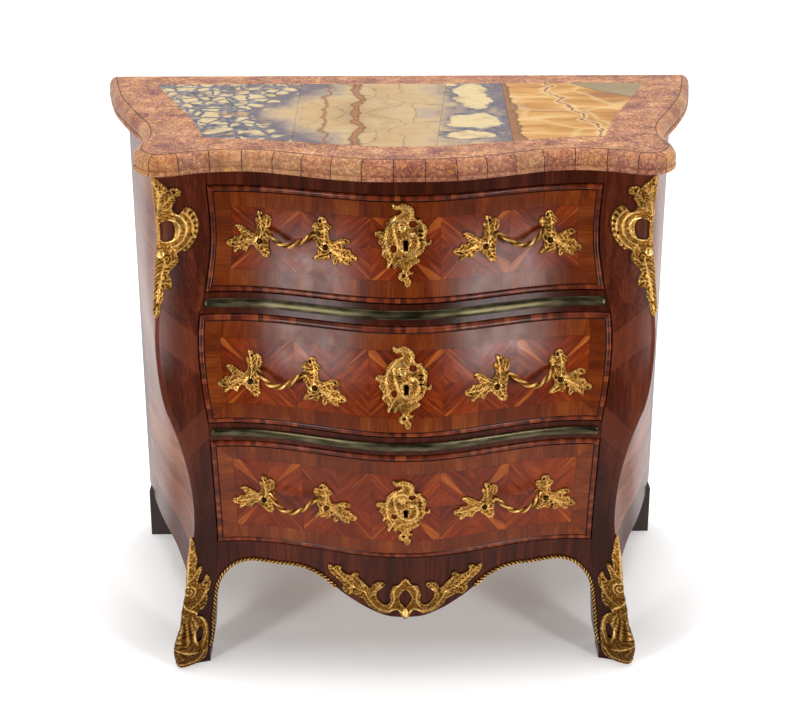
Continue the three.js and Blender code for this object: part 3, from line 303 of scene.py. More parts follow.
class Value:
    """A node's output that is reckoned with like a number."""

    def __init__(self, nodes, socket):
        self.nodes, self.socket = nodes, socket

    def __rsub__(self, number):
        return self.nodes.math("SUBTRACT", number, self)

    __add__, __sub__ = operation("ADD"), operation("SUBTRACT")
    __mul__, __truediv__, __pow__ = operation("MULTIPLY"), operation("DIVIDE"), operation("POWER")
    __gt__, __lt__ = operation("GREATER_THAN"), operation("LESS_THAN")
    __abs__, sign, sqrt = operation("ABSOLUTE"), operation("SIGN"), operation("SQRT")
    floor, fract = operation("FLOOR"), operation("FRACT")
    max, min = operation("MAXIMUM"), operation("MINIMUM")


class Nodes:
    """A node tree, and short names for the nodes that are put into it."""

    def __init__(self, tree):
        self.tree = tree
        self.place = self.value("TexCoord", output="Object")

    def feed(self, socket, value):
        """Gives a socket a value: another node's, a colour in hex digits, or numbers."""
        if isinstance(value, Value):
            self.tree.links.new(value.socket, socket)
        else:
            socket.default_value = rgb(value) if isinstance(value, str) else value

    def node(self, kind, inputs=(), **settings):
        """A new node; inputs are values in the order of its sockets, or by their keys."""
        made = self.tree.nodes.new("ShaderNode" + kind)
        for key, value in settings.items():
            setattr(made, key, value)
        for key in inputs if isinstance(inputs, dict) else range(len(inputs)):
            self.feed(made.inputs[key], inputs[key])
        return made

    def value(self, kind, inputs=(), output=0, **settings):
        return Value(self, self.node(kind, inputs, **settings).outputs[output])

    def math(self, name, *values):
        return self.value("Math", values, operation=name)

    def vector(self, name, *values):
        return self.value("VectorMath", values, operation=name)

    def join(self, x, y, z):
        return self.value("CombineXYZ", (x, y, z))

    def split(self, vector=None):
        made = self.node("SeparateXYZ", (vector or self.place,))
        return [Value(self, socket) for socket in made.outputs]

    def field(self, name):
        return self.value("Attribute", output="Fac", attribute_name=name)

    def mix(self, share, one, two):
        return self.value("Mix", {0: share, 6: one, 7: two}, output=2, data_type="RGBA")

    def ramp(self, share, stops):
        made = self.node("ValToRGB", (share,))
        elements = made.color_ramp.elements
        while len(elements) < len(stops):
            elements.new(0.5)
        for element, (place, colour) in zip(elements, stops):
            element.position = place
            element.color = rgb(colour)
        return Value(self, made.outputs[0])

    def between(self, value, low, high):
        """0 below low, 1 above high and a straight rise from one to the other."""
        return self.value("MapRange", (value, low, high))

    def stretched(self, sizes, vector=None):
        return self.vector("MULTIPLY", vector or self.place, sizes)

    def noise(self, scale, vector=None, detail=4.0, roughness=0.55, distortion=0.0):
        return self.value("TexNoise", {
            "Vector": vector or self.place, "Scale": scale, "Detail": detail,
            "Roughness": roughness, "Distortion": distortion})

    def cells(self, scale, vector=None, feature="F1"):
        return self.value("TexVoronoi", {"Vector": vector or self.place, "Scale": scale},
                          output="Distance", feature=feature)

    def chance(self, vector):
        return self.value("TexWhiteNoise", {"Vector": vector}, noise_dimensions="3D")


class Shader(Nodes):
    """A material and the nodes behind its one Principled shader."""

    def __init__(self, name, roughness, metallic=0.0, ior=1.5, specular=0.5):
        self.material = bpy.data.materials.new(name)
        self.material.use_nodes = True
        super().__init__(self.material.node_tree)
        self.bsdf = self.tree.nodes["Principled BSDF"]
        self.set("Roughness", roughness)
        self.set("Metallic", metallic)
        self.set("IOR", ior)
        self.set("Specular IOR Level", specular)
        self.normal = None

    def set(self, name, value):
        self.feed(self.bsdf.inputs[name], value)

    def bump(self, height, strength, distance):
        inputs = {"Strength": strength, "Distance": distance, "Height": height}
        if self.normal is not None:
            inputs["Normal"] = self.normal
        self.normal = self.value("Bump", inputs)
        self.set("Normal", self.normal)

    def done(self, colour, roughness=None):
        self.set("Base Color", colour)
        if roughness is not None:
            self.set("Roughness", roughness)
        return self.material


def wood_grain(s, across, along, seed, fine, slow):
    """Fine pores and slow figure of a veneer; each pair gives waves per unit across and along."""
    made = []
    for (over, down), detail in ((fine, 3.0), (slow, 4.0)):
        place = s.join(across * over, along * down, seed)
        made.append(s.noise(1.0, place, detail=detail, roughness=0.6))
    return made


def parquetry():
    """Squares of quartered veneer with pale slivers, a cross-banding and a chequered edge."""
    s = Shader("parquetry", roughness=0.23, ior=1.36, specular=0.34)
    x, _, z = s.split()
    fx, fz, edge, seed = s.field("unit_x"), s.field("unit_z"), s.field("edge"), s.field("seed")
    inside_x, inside_z = s.field("inside_x"), s.field("inside_z")

    # The field: grain along the diagonals of each square, mirrored about its middle lines
    cell = fx.floor()
    a = fx.fract() * 2.0 - 1.0
    over, up = abs(a), abs(fz)
    across, along = over - up, over + up
    quarter = a.sign() + fz.sign() * 3.0
    half = across.sign()
    luck = s.chance(s.join(cell, quarter, seed))
    luck_two = s.chance(s.join(quarter, seed, cell + 0.37))
    luck_three = s.chance(s.join(half * 0.4 + quarter, cell, seed))
    pores, figure = wood_grain(s, across, along, luck_three * 19.0 + seed, (46.0, 2.2), (7.0, 0.9))
    tone = figure * 0.7 + pores * 0.3 + (luck_three - 0.5) * 0.16
    field = s.ramp(tone, [(0.28, "3a0f02"), (0.44, "621f04"), (0.56, "7c2c06"), (0.74, "9e4512")])
    middle = (luck_two - 0.5) * 0.3
    width = luck ** 2.5 * 0.24
    reach = s.between(along, 0.5, 1.7) * s.between(along, 2.02, 1.96)
    room = (width + 0.018) * reach
    sliver = s.between(room - abs(across - middle), 0.0, 0.012)
    pale = s.ramp(tone, [(0.3, "8a3c10"), (0.55, "ad5a20"), (0.75, "c27634")])
    field = s.mix(sliver * 0.8, field, pale)
    seams = s.between(1.0 - over, 0.014, 0.0)
    seams = seams.max(s.between(over.min(up), 0.009, 0.0))
    seams = seams.max(s.between(abs(across), 0.01, 0.0))
    field = s.mix(seams * 0.4, field, "2a0d05")

    # The cross-banding: grain across the band, in blocks
    flat = inside_z > inside_x
    run, rise = s.mix(flat, z, x), s.mix(flat, x, z)
    grain, slow = wood_grain(s, run, rise, seed, (900.0, 26.0), (60.0, 12.0))
    block = s.chance(s.join((run * 15.0).floor(), fz.sign(), seed + a.sign()))
    band_tone = grain * 0.5 + slow * 0.5 + (block - 0.5) * 0.16
    band = s.ramp(band_tone, [(0.26, "3f1404"), (0.5, "662808"), (0.74, "904818")])
    rim = inside_x.max(inside_z)
    colour = s.mix(s.between(rim, -0.0002, 0.0002), field, band)
    string = s.between(abs(rim), 0.0006, 0.0002)
    colour = s.mix(string * 0.55, colour, "240c05")

    # The rounded edge: short pieces across it, dark lines on both sides
    piece = s.chance(s.join((run * 125.0).floor(), seed, 0.5))
    lip = s.ramp(piece * 0.5 + slow * 0.5, [
        (0.2, "350f07"), (0.45, "56200d"), (0.65, "783016"), (0.85, "965028")])
    colour = s.mix(s.between(edge, 0.0078, 0.0082), lip, colour)
    groove = s.between(edge, 0.0066, 0.0076) * s.between(edge, 0.0094, 0.0084)
    colour = s.mix(groove * 0.9, colour, "160604")
    behind = s.ramp(grain, [(0.3, "5c3a20"), (0.7, "8a5f38")])
    colour = s.mix(s.between(s.field("outside"), 0.5, 0.4), colour, behind)
    s.bump(band_tone + tone, strength=0.1, distance=0.0004)
    s.bump(s.noise(14.0, detail=2.0), strength=0.1, distance=0.004)
    return s.done(colour, s.between(s.noise(35.0, detail=5.0), -0.5, 2.7))


def kingwood(name, dark, mid, light, streak):
    """A polished dark veneer, its tone and its colour, with grain along streak's small size."""
    s = Shader(name, roughness=0.27, ior=1.36, specular=0.22)
    fine = s.noise(1.0, s.stretched(streak), detail=4.0, roughness=0.65)
    slow = s.noise(1.0, s.stretched(tuple(v / 9 for v in streak)), detail=4.0, distortion=0.5)
    tone = fine * 0.4 + slow * 0.6
    s.bump(fine, strength=0.08, distance=0.0004)
    s.bump(s.noise(9.0, detail=2.0), strength=0.07, distance=0.004)
    return s, tone, s.ramp(tone, [(0.32, dark), (0.5, mid), (0.68, light)])


def stile_wood():
    """Dark veneer with slanting bands beside the drawers, a paler arris and darker legs."""
    s, _, colour = kingwood("stile_kingwood", "2a0f08", "4f2012", "743822", (420.0, 420.0, 26.0))
    x, _, z = s.split()
    for height, tilt in ((0.565, 0.9), (0.395, -0.9)):
        drop = z - (abs(x) - 0.335) * tilt
        near = s.between(abs(drop - height), 0.028, 0.026)
        colour = s.mix(near * 0.4, colour, "7c3c26")
    arris = s.between(s.field("arris"), 0.0115, 0.0095)
    colour = s.mix(arris * 0.35, colour, "7a4030")
    return s.done(s.mix(s.between(z, 0.5, 0.24) * 0.78, colour, "200a04"))


def rail_wood():
    """Dark veneer in upright blocks."""
    dark = "230d07"
    s, _, colour = kingwood("rail_kingwood", dark, "44190c", "68301a", (520.0, 30.0, 20.0))
    piece = s.chance(s.join((s.split()[0] * 9.0).floor(), 0.2, 0.4))
    return s.done(s.mix(piece * 0.6, colour, dark))


def side_wood():
    """Large matched fields of lighter veneer within a darker banding."""
    s, tone, colour = kingwood("side_veneer", "522010", "75391c", "965a34", (60.0, 24.0, 330.0))
    s.set("Specular IOR Level", 0.08)
    edge = s.field("border")
    band = s.ramp(tone, [(0.3, "2f140e"), (0.7, "5c2f22")])
    colour = s.mix(s.between(edge, 0.0445, 0.0455), band, colour)
    line = s.between(edge, 0.0435, 0.0445) * s.between(edge, 0.0465, 0.0455)
    return s.done(s.mix(line * 0.8, colour, "25100b"))


def softwood():
    """Plain boards, with the grain along the case or, where they face front or back, across it."""
    s = Shader("softwood", roughness=0.62)
    x, y, z = s.split()
    _, facing, _ = s.split(s.value("NewGeometry", output="Normal"))
    facing = s.between(abs(facing), 0.5, 0.8)
    place = s.join(s.mix(facing, x, y), s.mix(facing, y, x), z)
    rings = s.noise(1.0, s.stretched((34.0, 2.2, 60.0), place), detail=5.0, distortion=0.8)
    pores = s.noise(1.0, s.stretched((700.0, 30.0, 700.0), place), detail=2.0)
    tone = rings * 0.75 + pores * 0.25
    s.bump(pores, strength=0.15, distance=0.0004)
    return s.done(s.ramp(tone, [(0.3, "8a5c34"), (0.5, "b08050"), (0.7, "c79b69")]))


def ebonised():
    s = Shader("ebonised_post", roughness=0.55)
    worn = s.noise(60.0, detail=6.0)
    fine = s.noise(1.0, s.stretched((300.0, 300.0, 18.0)), detail=3.0)
    colour = s.ramp(worn * 0.6 + fine * 0.4, [(0.35, "150c08"), (0.6, "2a1a12"), (0.75, "4a3022")])
    s.bump(fine, strength=0.2, distance=0.0005)
    return s.done(colour)


def gilding():
    """Fire-gilt bronze: dark in the recesses, burnished on what stands out, darker near the floor."""
    s = Shader("gilt_bronze_fine", metallic=1.0, roughness=0.26)
    grime = s.noise(150.0, detail=6.0, roughness=0.75)
    tarnish = s.noise(45.0, detail=5.0, roughness=0.65)
    level = s.field("relief") + (grime - 0.5) * 0.8
    colour = s.ramp(level, [(0.12, "2e1a09"), (0.44, "a46e2a"), (0.95, "ffd280")])
    # Darker towards the floor, except on the highest relief.
    low = s.between(s.split()[2], 0.24, 0.1) * s.between(level, 1.1, 0.5)
    darkened = (s.between(tarnish, 0.48, 0.66) * 0.6).max(low * 0.72)
    s.bump(s.noise(900.0, detail=3.0), strength=0.3, distance=0.0003)
    s.bump(s.cells(420.0), strength=0.25, distance=0.0005)
    return s.done(s.mix(darkened, colour, "2e1a09"), s.between(level, 1.7, -0.5))


def aged_brass():
    s = Shader("aged_brass", metallic=1.0, roughness=0.36)
    wear = s.noise(1.0, s.stretched((30.0, 30.0, 160.0)), detail=5.0)
    colour = s.ramp(wear, [(0.3, "2c281a"), (0.5, "4a4431"), (0.7, "6a624a")])
    s.bump(s.noise(500.0), strength=0.1, distance=0.0003)
    return s.done(colour, s.between(wear, -0.4, 1.9))


def ironwork():
    s = Shader("lock_iron", metallic=1.0, roughness=0.45)
    rust = s.noise(90.0, detail=6.0)
    colour = s.ramp(rust, [(0.4, "3c3835"), (0.6, "57504a"), (0.75, "6a4a36")])
    s.bump(rust, strength=0.2, distance=0.0005)
    return s.done(colour, s.between(rust, -0.3, 1.6))


def polished(name):
    return Shader(name, roughness=0.3, ior=1.4, specular=0.12)


def wavy(s, scale, amount, vector=None):
    """The place pushed about by three slow noises."""
    place = vector or s.place
    shifts = []
    for turn in (0.0, 7.3, 15.1):
        noise = s.noise(scale, s.vector("ADD", place, (turn, turn, 0.0)), detail=4.0)
        shifts.append(noise - 0.5)
    return s.vector("ADD", place, s.stretched((amount,) * 3, s.join(*shifts)))


# Joints of the border of the stone top, from the inlaid field to the edge, as plan places
BORDER_JOINTS = [
    (share_x * STONE_HALF, BACK - share_y * STONE_DEPTH, out_x * STONE_HALF,
     BACK - out_y * STONE_DEPTH)
    for share_x, share_y, out_x, out_y in (
        (0.6, 0.75, 0.75, 0.9), (0.82, 0.112, 0.95, 0.0), (0.2, 0.83, 0.21, 0.95),
        (0.7, 0.43, 0.86, 0.43), (0.35, 0.112, 0.35, 0.0))]


def brocatelle():
    """Reddish-tan marble crowded with ochre flecks; the moulded edge is built of short blocks."""
    s = polished("brocatelle")
    x, y, _ = s.split()
    along, depth = s.field("along"), s.field("depth")
    block = s.chance(s.join(along.floor(), 0.7, 0.1))
    bent = wavy(s, 40.0, 0.012)
    fine = s.noise(210.0, bent, detail=6.0, roughness=0.8)
    tone = fine + (s.noise(26.0, detail=3.0) - 0.5) * 0.4
    colour = s.ramp(tone, [(0.34, "55292c"), (0.43, "915443"), (0.51, "ba805b"), (0.59, "cf996f"),
                           (0.7, "eac496")])
    fleck = s.between(s.cells(120.0, bent), 0.42, 0.2)
    some = s.between(s.noise(24.0, detail=3.0), 0.42, 0.58)
    colour = s.mix(fleck * some * 0.85, colour, "dc9c3e")
    crackle = s.between(s.cells(190.0, bent, feature="DISTANCE_TO_EDGE"), 0.14, 0.02)
    crackle *= s.between(s.noise(35.0), 0.42, 0.56)
    veins = s.between(s.cells(42.0, bent, feature="DISTANCE_TO_EDGE"), 0.045, 0.0)
    colour = s.mix((crackle * 0.8).max(veins * 0.6), colour, "4d222e")
    on_edge = s.between(depth, 0.0132, 0.0128)
    tint = s.ramp(block, [(0.1, "a0604a"), (0.35, "d6aa70"), (0.6, "9a625a"), (0.85, "c48448")])
    colour = s.mix(on_edge * 0.34, colour, tint)
    cut = s.between(abs(along.fract() - 0.5), 0.48, 0.49) * on_edge
    dark = cut.max(s.between(abs(depth - 0.013), 0.0011, 0.0005))
    for ax, ay, bx, by in BORDER_JOINTS:
        for side in (-1, 1):
            dark = dark.max(line_at(s, x, y, side * ax, ay, side * bx, by))
    colour = s.mix(dark * 0.88, colour, "321a16")
    s.bump(tone * 0.2 - dark, strength=0.3, distance=0.0006)
    return s.done(colour, s.between(tone, -0.35, 1.6))


def line_at(s, x, y, ax, ay, bx, by):
    """1 on a thin straight joint between two plan places, 0 beside it."""
    length = math.hypot(bx - ax, by - ay)
    ux, uy = (bx - ax) / length, (by - ay) / length
    dx, dy = x - ax, y - ay
    run = dx * ux + dy * uy
    return s.between(abs(dx * uy - dy * ux), 0.0008, 0.0003) * (run > 0.0) * (run < length) * 0.6


def banded_leaves(s):
    """Two leaves of cream stone opened like a book, violet-grey at both of their ends.

    The breccia to the left and to the right grows out of the same two leaves.
    """
    x, y, _ = s.split()
    fold = abs(y - (BACK - 0.271))
    leaf = s.join(x, fold, 0.0)
    slow = s.noise(12.0, leaf, detail=3.0, distortion=0.5)
    within = (x + 0.215 - fold * 0.45).min((0.15 - x) * 0.5)
    shade = within * 8.0 + (slow - 0.5) * 1.5
    colour = s.ramp(shade, [(0.0, "665c62"), (0.22, "a08b76"), (0.42, "b99d72"), (0.75, "b5966a"),
                            (1.0, "ab8d64")])
    waves = s.noise(1.0, s.stretched((30.0, 9.0, 0.0), wavy(s, 9.0, 0.05, leaf)),
                    detail=4.0)
    colour = s.mix(s.between(waves, 0.54, 0.66) * 0.45, colour, "947a60")
    return fold, leaf, slow, colour


def breccia():
    """Cream pebbles ringed with slate, a crowd of them to the left and a few big ones between."""
    s = polished("breccia")
    x, y, _ = s.split()
    fold, _, _, base = banded_leaves(s)
    fine = s.noise(70.0, detail=6.0, roughness=0.75)
    bent = wavy(s, 30.0, 0.022)
    cream = s.ramp(s.noise(30.0, detail=5.0), [(0.3, "a58a66"), (0.5, "cdb789"), (0.75, "bfa679")])
    slate = s.ramp(fine, [(0.36, "2b2b36"), (0.48, "55535f"), (0.62, "958b84")])

    # The crowd to the left
    near = y + s.noise(14.0, detail=3.0) * 0.16 < BACK - 0.285
    size = 1.0 - near * 0.45
    place = s.stretched(s.join(size, size * 0.8, size), bent)
    room = s.cells(42.0, place, feature="DISTANCE_TO_EDGE")
    gate = s.noise(26.0, place, detail=3.0)
    edge = (fine - 0.5) * 0.4 + 0.1
    pebble = s.between(room - edge, 0.0, 0.03) * s.between(gate, 0.4, 0.46)
    crowd = s.mix(pebble * 0.95, slate, cream)
    rust = s.between(s.noise(11.0, s.stretched((1.0, 2.0, 1.0)), detail=5.0), 0.58, 0.66)
    crowd = s.mix(rust * 0.55, crowd, "94683c")
    start = -0.235 - x + fold * 0.36 + (room - 0.2) * 0.12
    colour = s.mix(s.between(start, -0.008, 0.004), base, crowd)

    # The few big ones between the leaves and the onyx
    veins = s.cells(38.0, bent, feature="DISTANCE_TO_EDGE")
    veins = s.between(veins, 0.09, 0.02) * s.between(x, 0.06, 0.1)
    colour = s.mix(veins * 0.7, colour, slate)
    bx, by, _ = s.split(wavy(s, 26.0, 0.05))
    for cx, cy, wide, deep in ((0.114, -0.155, 0.027, 0.088), (0.11, -0.322, 0.04, 0.045),
                               (0.098, -0.408, 0.035, 0.022), (0.072, -0.065, 0.02, 0.026)):
        u, v = (bx - cx) / wide, (by - (BACK + cy)) / deep
        r = (u * u + v * v).sqrt() + (fine - 0.5) * 0.5
        ring = s.between(r, 1.5, 1.15) * s.between(gate, 0.34, 0.5)
        colour = s.mix(ring * 0.9, colour, slate)
        colour = s.mix(s.between(r, 1.04, 0.98), colour, cream)
    return s.done(colour, s.between(fine, -0.35, 1.6))


def alabaster():
    """The two leaves, with two toffee-coloured veins and fine cracks across them."""
    s = polished("alabaster")
    fold, leaf, slow, colour = banded_leaves(s)
    bend = s.split()[0] + s.noise(16.0, leaf, detail=4.0) * 0.05
    for middle, width, amount in ((-0.044, 0.0085, 0.9), (-0.094, 0.0036, 0.8)):
        ragged = s.noise(30.0, leaf, detail=3.0) * (2.0 * width)
        off = abs(bend - middle) - ragged + width
        vein = s.between(off, width, width * 0.6)
        tint = s.mix(s.between(off, width * 0.6, width * 0.2), "6a3c1c", "98623a")
        colour = s.mix(vein * amount, colour, tint)
    cracks = s.cells(13.0, wavy(s, 14.0, 0.05, leaf), feature="DISTANCE_TO_EDGE")
    colour = s.mix(s.between(cracks, 0.024, 0.0) * 0.6, colour, "6a4a34")
    seam = s.between(fold, 0.0009, 0.0003).max(s.between(abs(fold - 0.098), 0.0008, 0.0003))
    colour = s.mix(seam * 0.45, colour, "5f4c40")
    return s.done(colour, s.between(slow, -0.35, 1.6))


def onyx():
    """Ochre stone in straight leaves with toffee-coloured bands and a pale vein."""
    s = polished("onyx")
    x, y, _ = s.split()
    bent = wavy(s, 9.0, 0.05)
    bands = s.noise(1.0, s.stretched((7.0, 24.0, 0.0), bent), detail=6.0)
    colour = s.ramp(bands, [(0.34, "8f5620"), (0.44, "ac7630"), (0.54, "bf8c48"), (0.66, "cfab74")])
    veins = s.cells(10.0, bent, feature="DISTANCE_TO_EDGE")
    colour = s.mix(s.between(veins, 0.08, 0.02) * 0.5, colour, "d2b07c")
    slant = x - 0.27 + y * 0.22 + (s.noise(9.0, detail=4.0) - 0.5) * 0.16
    colour = s.mix(s.between(abs(slant), 0.014, 0.005) * 0.6, colour, "d8bb8c")
    colour = s.mix(s.between(abs(slant), 0.004, 0.0015) * 0.9, colour, "7c4420")
    corner = x + y + slant * 0.4
    colour = s.mix(s.between(corner, 0.53, 0.545), colour, "8e7d5c")
    rim = s.between(abs(corner - 0.537), 0.006, 0.001)
    colour = s.mix(rim * 0.7, colour, "5a4436")
    for line in (0.155, 0.262, 0.33):
        seam = s.between(abs(y - (BACK - line)), 0.0008, 0.0003)
        colour = s.mix(seam * 0.4, colour, "6a4420")
    ragged = x + bands * 0.03
    colour = s.mix(s.between(ragged, 0.193, 0.189) * 0.9, colour, "3f2a1c")
    colour = s.mix(s.between(ragged, 0.189, 0.187) * 0.9, colour, "8f6038")
    return s.done(colour, s.between(bands, -0.35, 1.6))


# The case
def shell(front, back):
    """A closed solid between two grids of the same size, and its faces."""
    front, back = np.asarray(front, float), np.asarray(back, float)
    rows, columns = front.shape[:2]
    count = rows * columns
    faces = grid_faces(rows, columns)
    faces += [tuple(reversed(f)) for f in grid_faces(rows, columns, start=count)]
    rim = list(range(columns))
    rim += [r * columns + columns - 1 for r in range(1, rows)]
    rim += [(rows - 1) * columns + c for c in range(columns - 2, -1, -1)]
    rim += [r * columns for r in range(rows - 2, 0, -1)]
    for a, b in zip(rim, rim[1:] + rim[:1]):
        faces.append((b, a, a + count, b + count))
    verts = np.concatenate([front.reshape(-1, 3), back.reshape(-1, 3)])
    return verts, outward(verts, faces)


def prism(outline, low, high):
    """A solid of an outline in (x, z) between two depths."""
    return loft([[(x, y, z) for x, z in outline] for y in (low, high)])


def carved(verts, faces, tools):
    """The solid with every tool cut out of it, as new vertices and faces."""
    made = [new_object("shape", new_mesh("shape", v, f)) for v, f in [(verts, faces), *tools]]
    body = made[0]
    for tool in made[1:]:
        cut = body.modifiers.new("cut", "BOOLEAN")
        cut.operation = "DIFFERENCE"
        cut.solver = "EXACT"
        cut.object = tool
    shown = body.evaluated_get(bpy.context.evaluated_depsgraph_get())
    result = shown.to_mesh()
    points = np.array([v.co[:] for v in result.vertices])
    polygons = [tuple(p.vertices) for p in result.polygons]
    shown.to_mesh_clear()
    for shape in made:
        mesh = shape.data
        bpy.data.objects.remove(shape)
        bpy.data.meshes.remove(mesh)
    return points, polygons


def make_stiles(wood):
    rings, arris = [], []
    for z in [*np.linspace(0, 0.15, 34), *np.linspace(0.15, CASE_TOP, 134)[1:]]:
        cx, cy, inner = corner_x(z), corner_y(z), opening_x(z)
        u = np.concatenate([
            np.linspace(cx - inner, ARRIS, 14), np.linspace(ARRIS, -ARRIS, 11)[1:],
            np.linspace(-ARRIS, cy - (BACK + STILE_BACK), 8)[1:]])
        ring = corner_point(u, np.full_like(u, z))
        rings.append(np.concatenate([ring, [(inner, BACK + STILE_BACK, z)]]))
        arris.append(np.concatenate([np.abs(u), [1.0]]))
    verts, faces = loft(rings)
    both("stile", verts, faces, wood, "front_stile", {"arris": np.array(arris)})


def make_sides(wood):
    rear_flat = -POST_DEPTH - SIDE_THICK / 4
    depths = np.concatenate([np.linspace(STILE_BACK, rear_flat, 50), [-0.03, 0.0]])
    outer, inner, border = [], [], []
    for depth in depths:
        low = SIDE_ARCH_HIGH * side_low_share(1 - depth / STILE_BACK)
        z = np.linspace(low, CASE_TOP, 90)
        y = BACK + depth
        out = side_x(y, z)
        ease = between(depth, rear_flat - SIDE_THICK, rear_flat)
        within = (out - SIDE_THICK) * (1 - ease) + (REAR_HALF - SIDE_REAR_THICK) * ease
        outer.append(stack(out, y, z))
        inner.append(stack(within, y, z))
        across = min(depth - STILE_BACK, -depth)
        border.append(np.minimum(np.minimum(z - low, CASE_TOP - z), across))
    verts, faces = shell(outer, inner)
    fields = {"border": np.concatenate([np.array(border).ravel(), np.ones(len(verts) // 2)])}
    both("side", verts, faces, wood, "side_panel", fields)


def rail_shape(low, high, rows, columns, behind):
    """A piece between the stiles: low(share) is its lower edge, behind(x) its rear face."""
    front, rear = [], []
    for share in np.linspace(-1, 1, columns):
        z = np.linspace(low(abs(share)), high, rows)
        x = share * (opening_x(z) - GAP)
        front.append(stack(x, front_y(x, z), z))
        rear.append(stack(x, behind(x), z))
    return shell(front, rear)


def make_rails(wood):
    """The rails over the drawers, each with a slot for the bolt of the lock below it."""
    reach = 0.001
    for node, lower, high in (
            ("frieze_rail", "upper", CASE_TOP),
            ("traverse_upper", "middle", OPENINGS["upper"][0]),
            ("traverse_lower", "lower", OPENINGS["middle"][0])):
        low = OPENINGS[lower][1]
        (left, near, _), (right, far, _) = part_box(f"lock_bolt_{lower}")
        left, right = left - reach, right + reach
        slot = prism([(left, low - 0.03), (right, low - 0.03), (right, low + 0.01),
                      (left, low + 0.01)], near - reach, far + reach)
        shape = rail_shape(lambda share: low, high, max(round((high - low) / 0.003), 4), 120,
                           lambda x: BACK + RAIL_BACK)
        verts, faces = carved(*shape, [slot])
        put(f"{node}_fine", verts, faces, wood, "carcase", [node])


def make_apron(wood):
    """The apron; its middle hangs a little less than the solid's, as the photograph shows."""
    verts, faces = rail_shape(
        lambda share: APRON_ARCH_HIGH * apron_share(share), OPENINGS["lower"][0], 14, 200,
        lambda x: BACK + plan_wave(x) - FRONT_DEPTH + APRON_THICK)
    put("apron_fine", verts, faces, wood, "carcase", ["apron"])


# Drawer fronts
BEAD = 0.008
BANDING = 0.024
# Shares of the opening: handles from the middle outwards, handles and key plate upwards
FITTING_SHARES = {"upper": (0.575, 0.481, 0.563), "middle": (0.635, 0.422, 0.488),
                  "lower": (0.589, 0.446, 0.477)}
EDGE_ROUND, FRONT_MIN = 0.004, 0.02
LOCK_DEPTH, NUT_SEAT, NUT_SEAT_RADIUS = 0.014, 0.003, 0.009
HANDLE_HALF_SPAN = 0.048
# Distances from the edge at which a front's mesh has its outer rows and columns
edge_steps = np.array([0, 0.15, 0.5, 1.0, 1.7, 2.5, 3.5, 4.5, 5.5, 6.4, 7.1, 7.6, 8.0, 8.4,
                       8.9, 10, 13]) / 1000


def fittings(opening):
    """Where a front's fittings lie: x of the handles, z of the handles, z of the key plate."""
    low, high = OPENINGS[opening]
    across, up, key = FITTING_SHARES[opening]
    return OPENING_HALF * across, low + (high - low) * up, low + (high - low) * key


def bead_drop(distance):
    """How far the rounded edge and the groove beside it lie below the face."""
    deep, foot = 0.0012, 0.0052
    d = np.clip(distance, 0, None)
    rounding = EDGE_ROUND * (1 - np.sqrt(1 - (1 - between(d, 0, EDGE_ROUND)) ** 2))
    fall = deep * between(d, foot, BEAD) ** 2 * (d <= BEAD)
    groove = deep * (1 - between(d, BEAD, BEAD + 0.0009)) * (d > BEAD)
    return rounding + fall + groove


def inner_y(opening):
    """The depth of the hollow behind a drawer front, where the front is thinnest."""
    low, high = OPENINGS[opening]
    steps = max(math.ceil((high - low) / 0.027 - 1e-9), 1)
    swell = BELLY * swell_share(np.linspace(low, high, steps + 1) / CASE_TOP)
    return BACK - FRONT_DEPTH - swell.min() + FRONT_MIN


def around(x, z, wide, tall, turns):
    """Places of an oval about (x, z) at the given turns."""
    return list(zip(x + wide * np.cos(turns), z + tall * np.sin(turns)))


def keyhole(x, z):
    """A round head above a straight slot, as an outline in (x, z)."""
    radius, slot = 0.0036, 0.0028
    spread = math.asin(slot / radius)
    turns = np.linspace(spread, 2 * math.pi - spread, 17) - math.pi / 2
    foot = z - 0.015 + radius
    return [*around(x, z, radius, radius, turns), (x - slot, foot), (x + slot, foot)]


def oval(x, z, wide, tall, count=14):
    return around(x, z, wide, tall, np.arange(count) * 2 * np.pi / count)


def node_shape(node):
    """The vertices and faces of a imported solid, with its split corners joined again."""
    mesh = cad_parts[node].data
    verts = np.array([v.co[:] for v in mesh.vertices])
    places, back = np.unique(verts.round(6), axis=0, return_inverse=True)
    back = back.ravel()
    faces = [tuple(back[i] for i in p.vertices) for p in mesh.polygons]
    return places, [f for f in faces if len(set(f)) == len(f)]


def front_tools(name):
    """What is cut out of a drawer front: lock, dovetails, keyhole and the seats of the nuts."""
    handle_x, handle_z, key_z = fittings(name)
    inner = inner_y(name)
    tools = [node_shape(f"lock_case_{name}")]
    tools += [node_shape(f"drawer_{name}_side_{side}") for side in ("left", "right")]
    tools.append(prism(keyhole(0, key_z), BACK - 0.7, inner - LOCK_DEPTH / 2))
    for side in (-1, 1):
        for end in (-1, 1):
            x = side * handle_x + end * HANDLE_HALF_SPAN
            seat = plan_wave(x) + inner - NUT_SEAT
            hole = oval(x, handle_z, NUT_SEAT_RADIUS, NUT_SEAT_RADIUS, 24)
            tools.append(prism(hole, seat, seat + 0.03))
    return tools


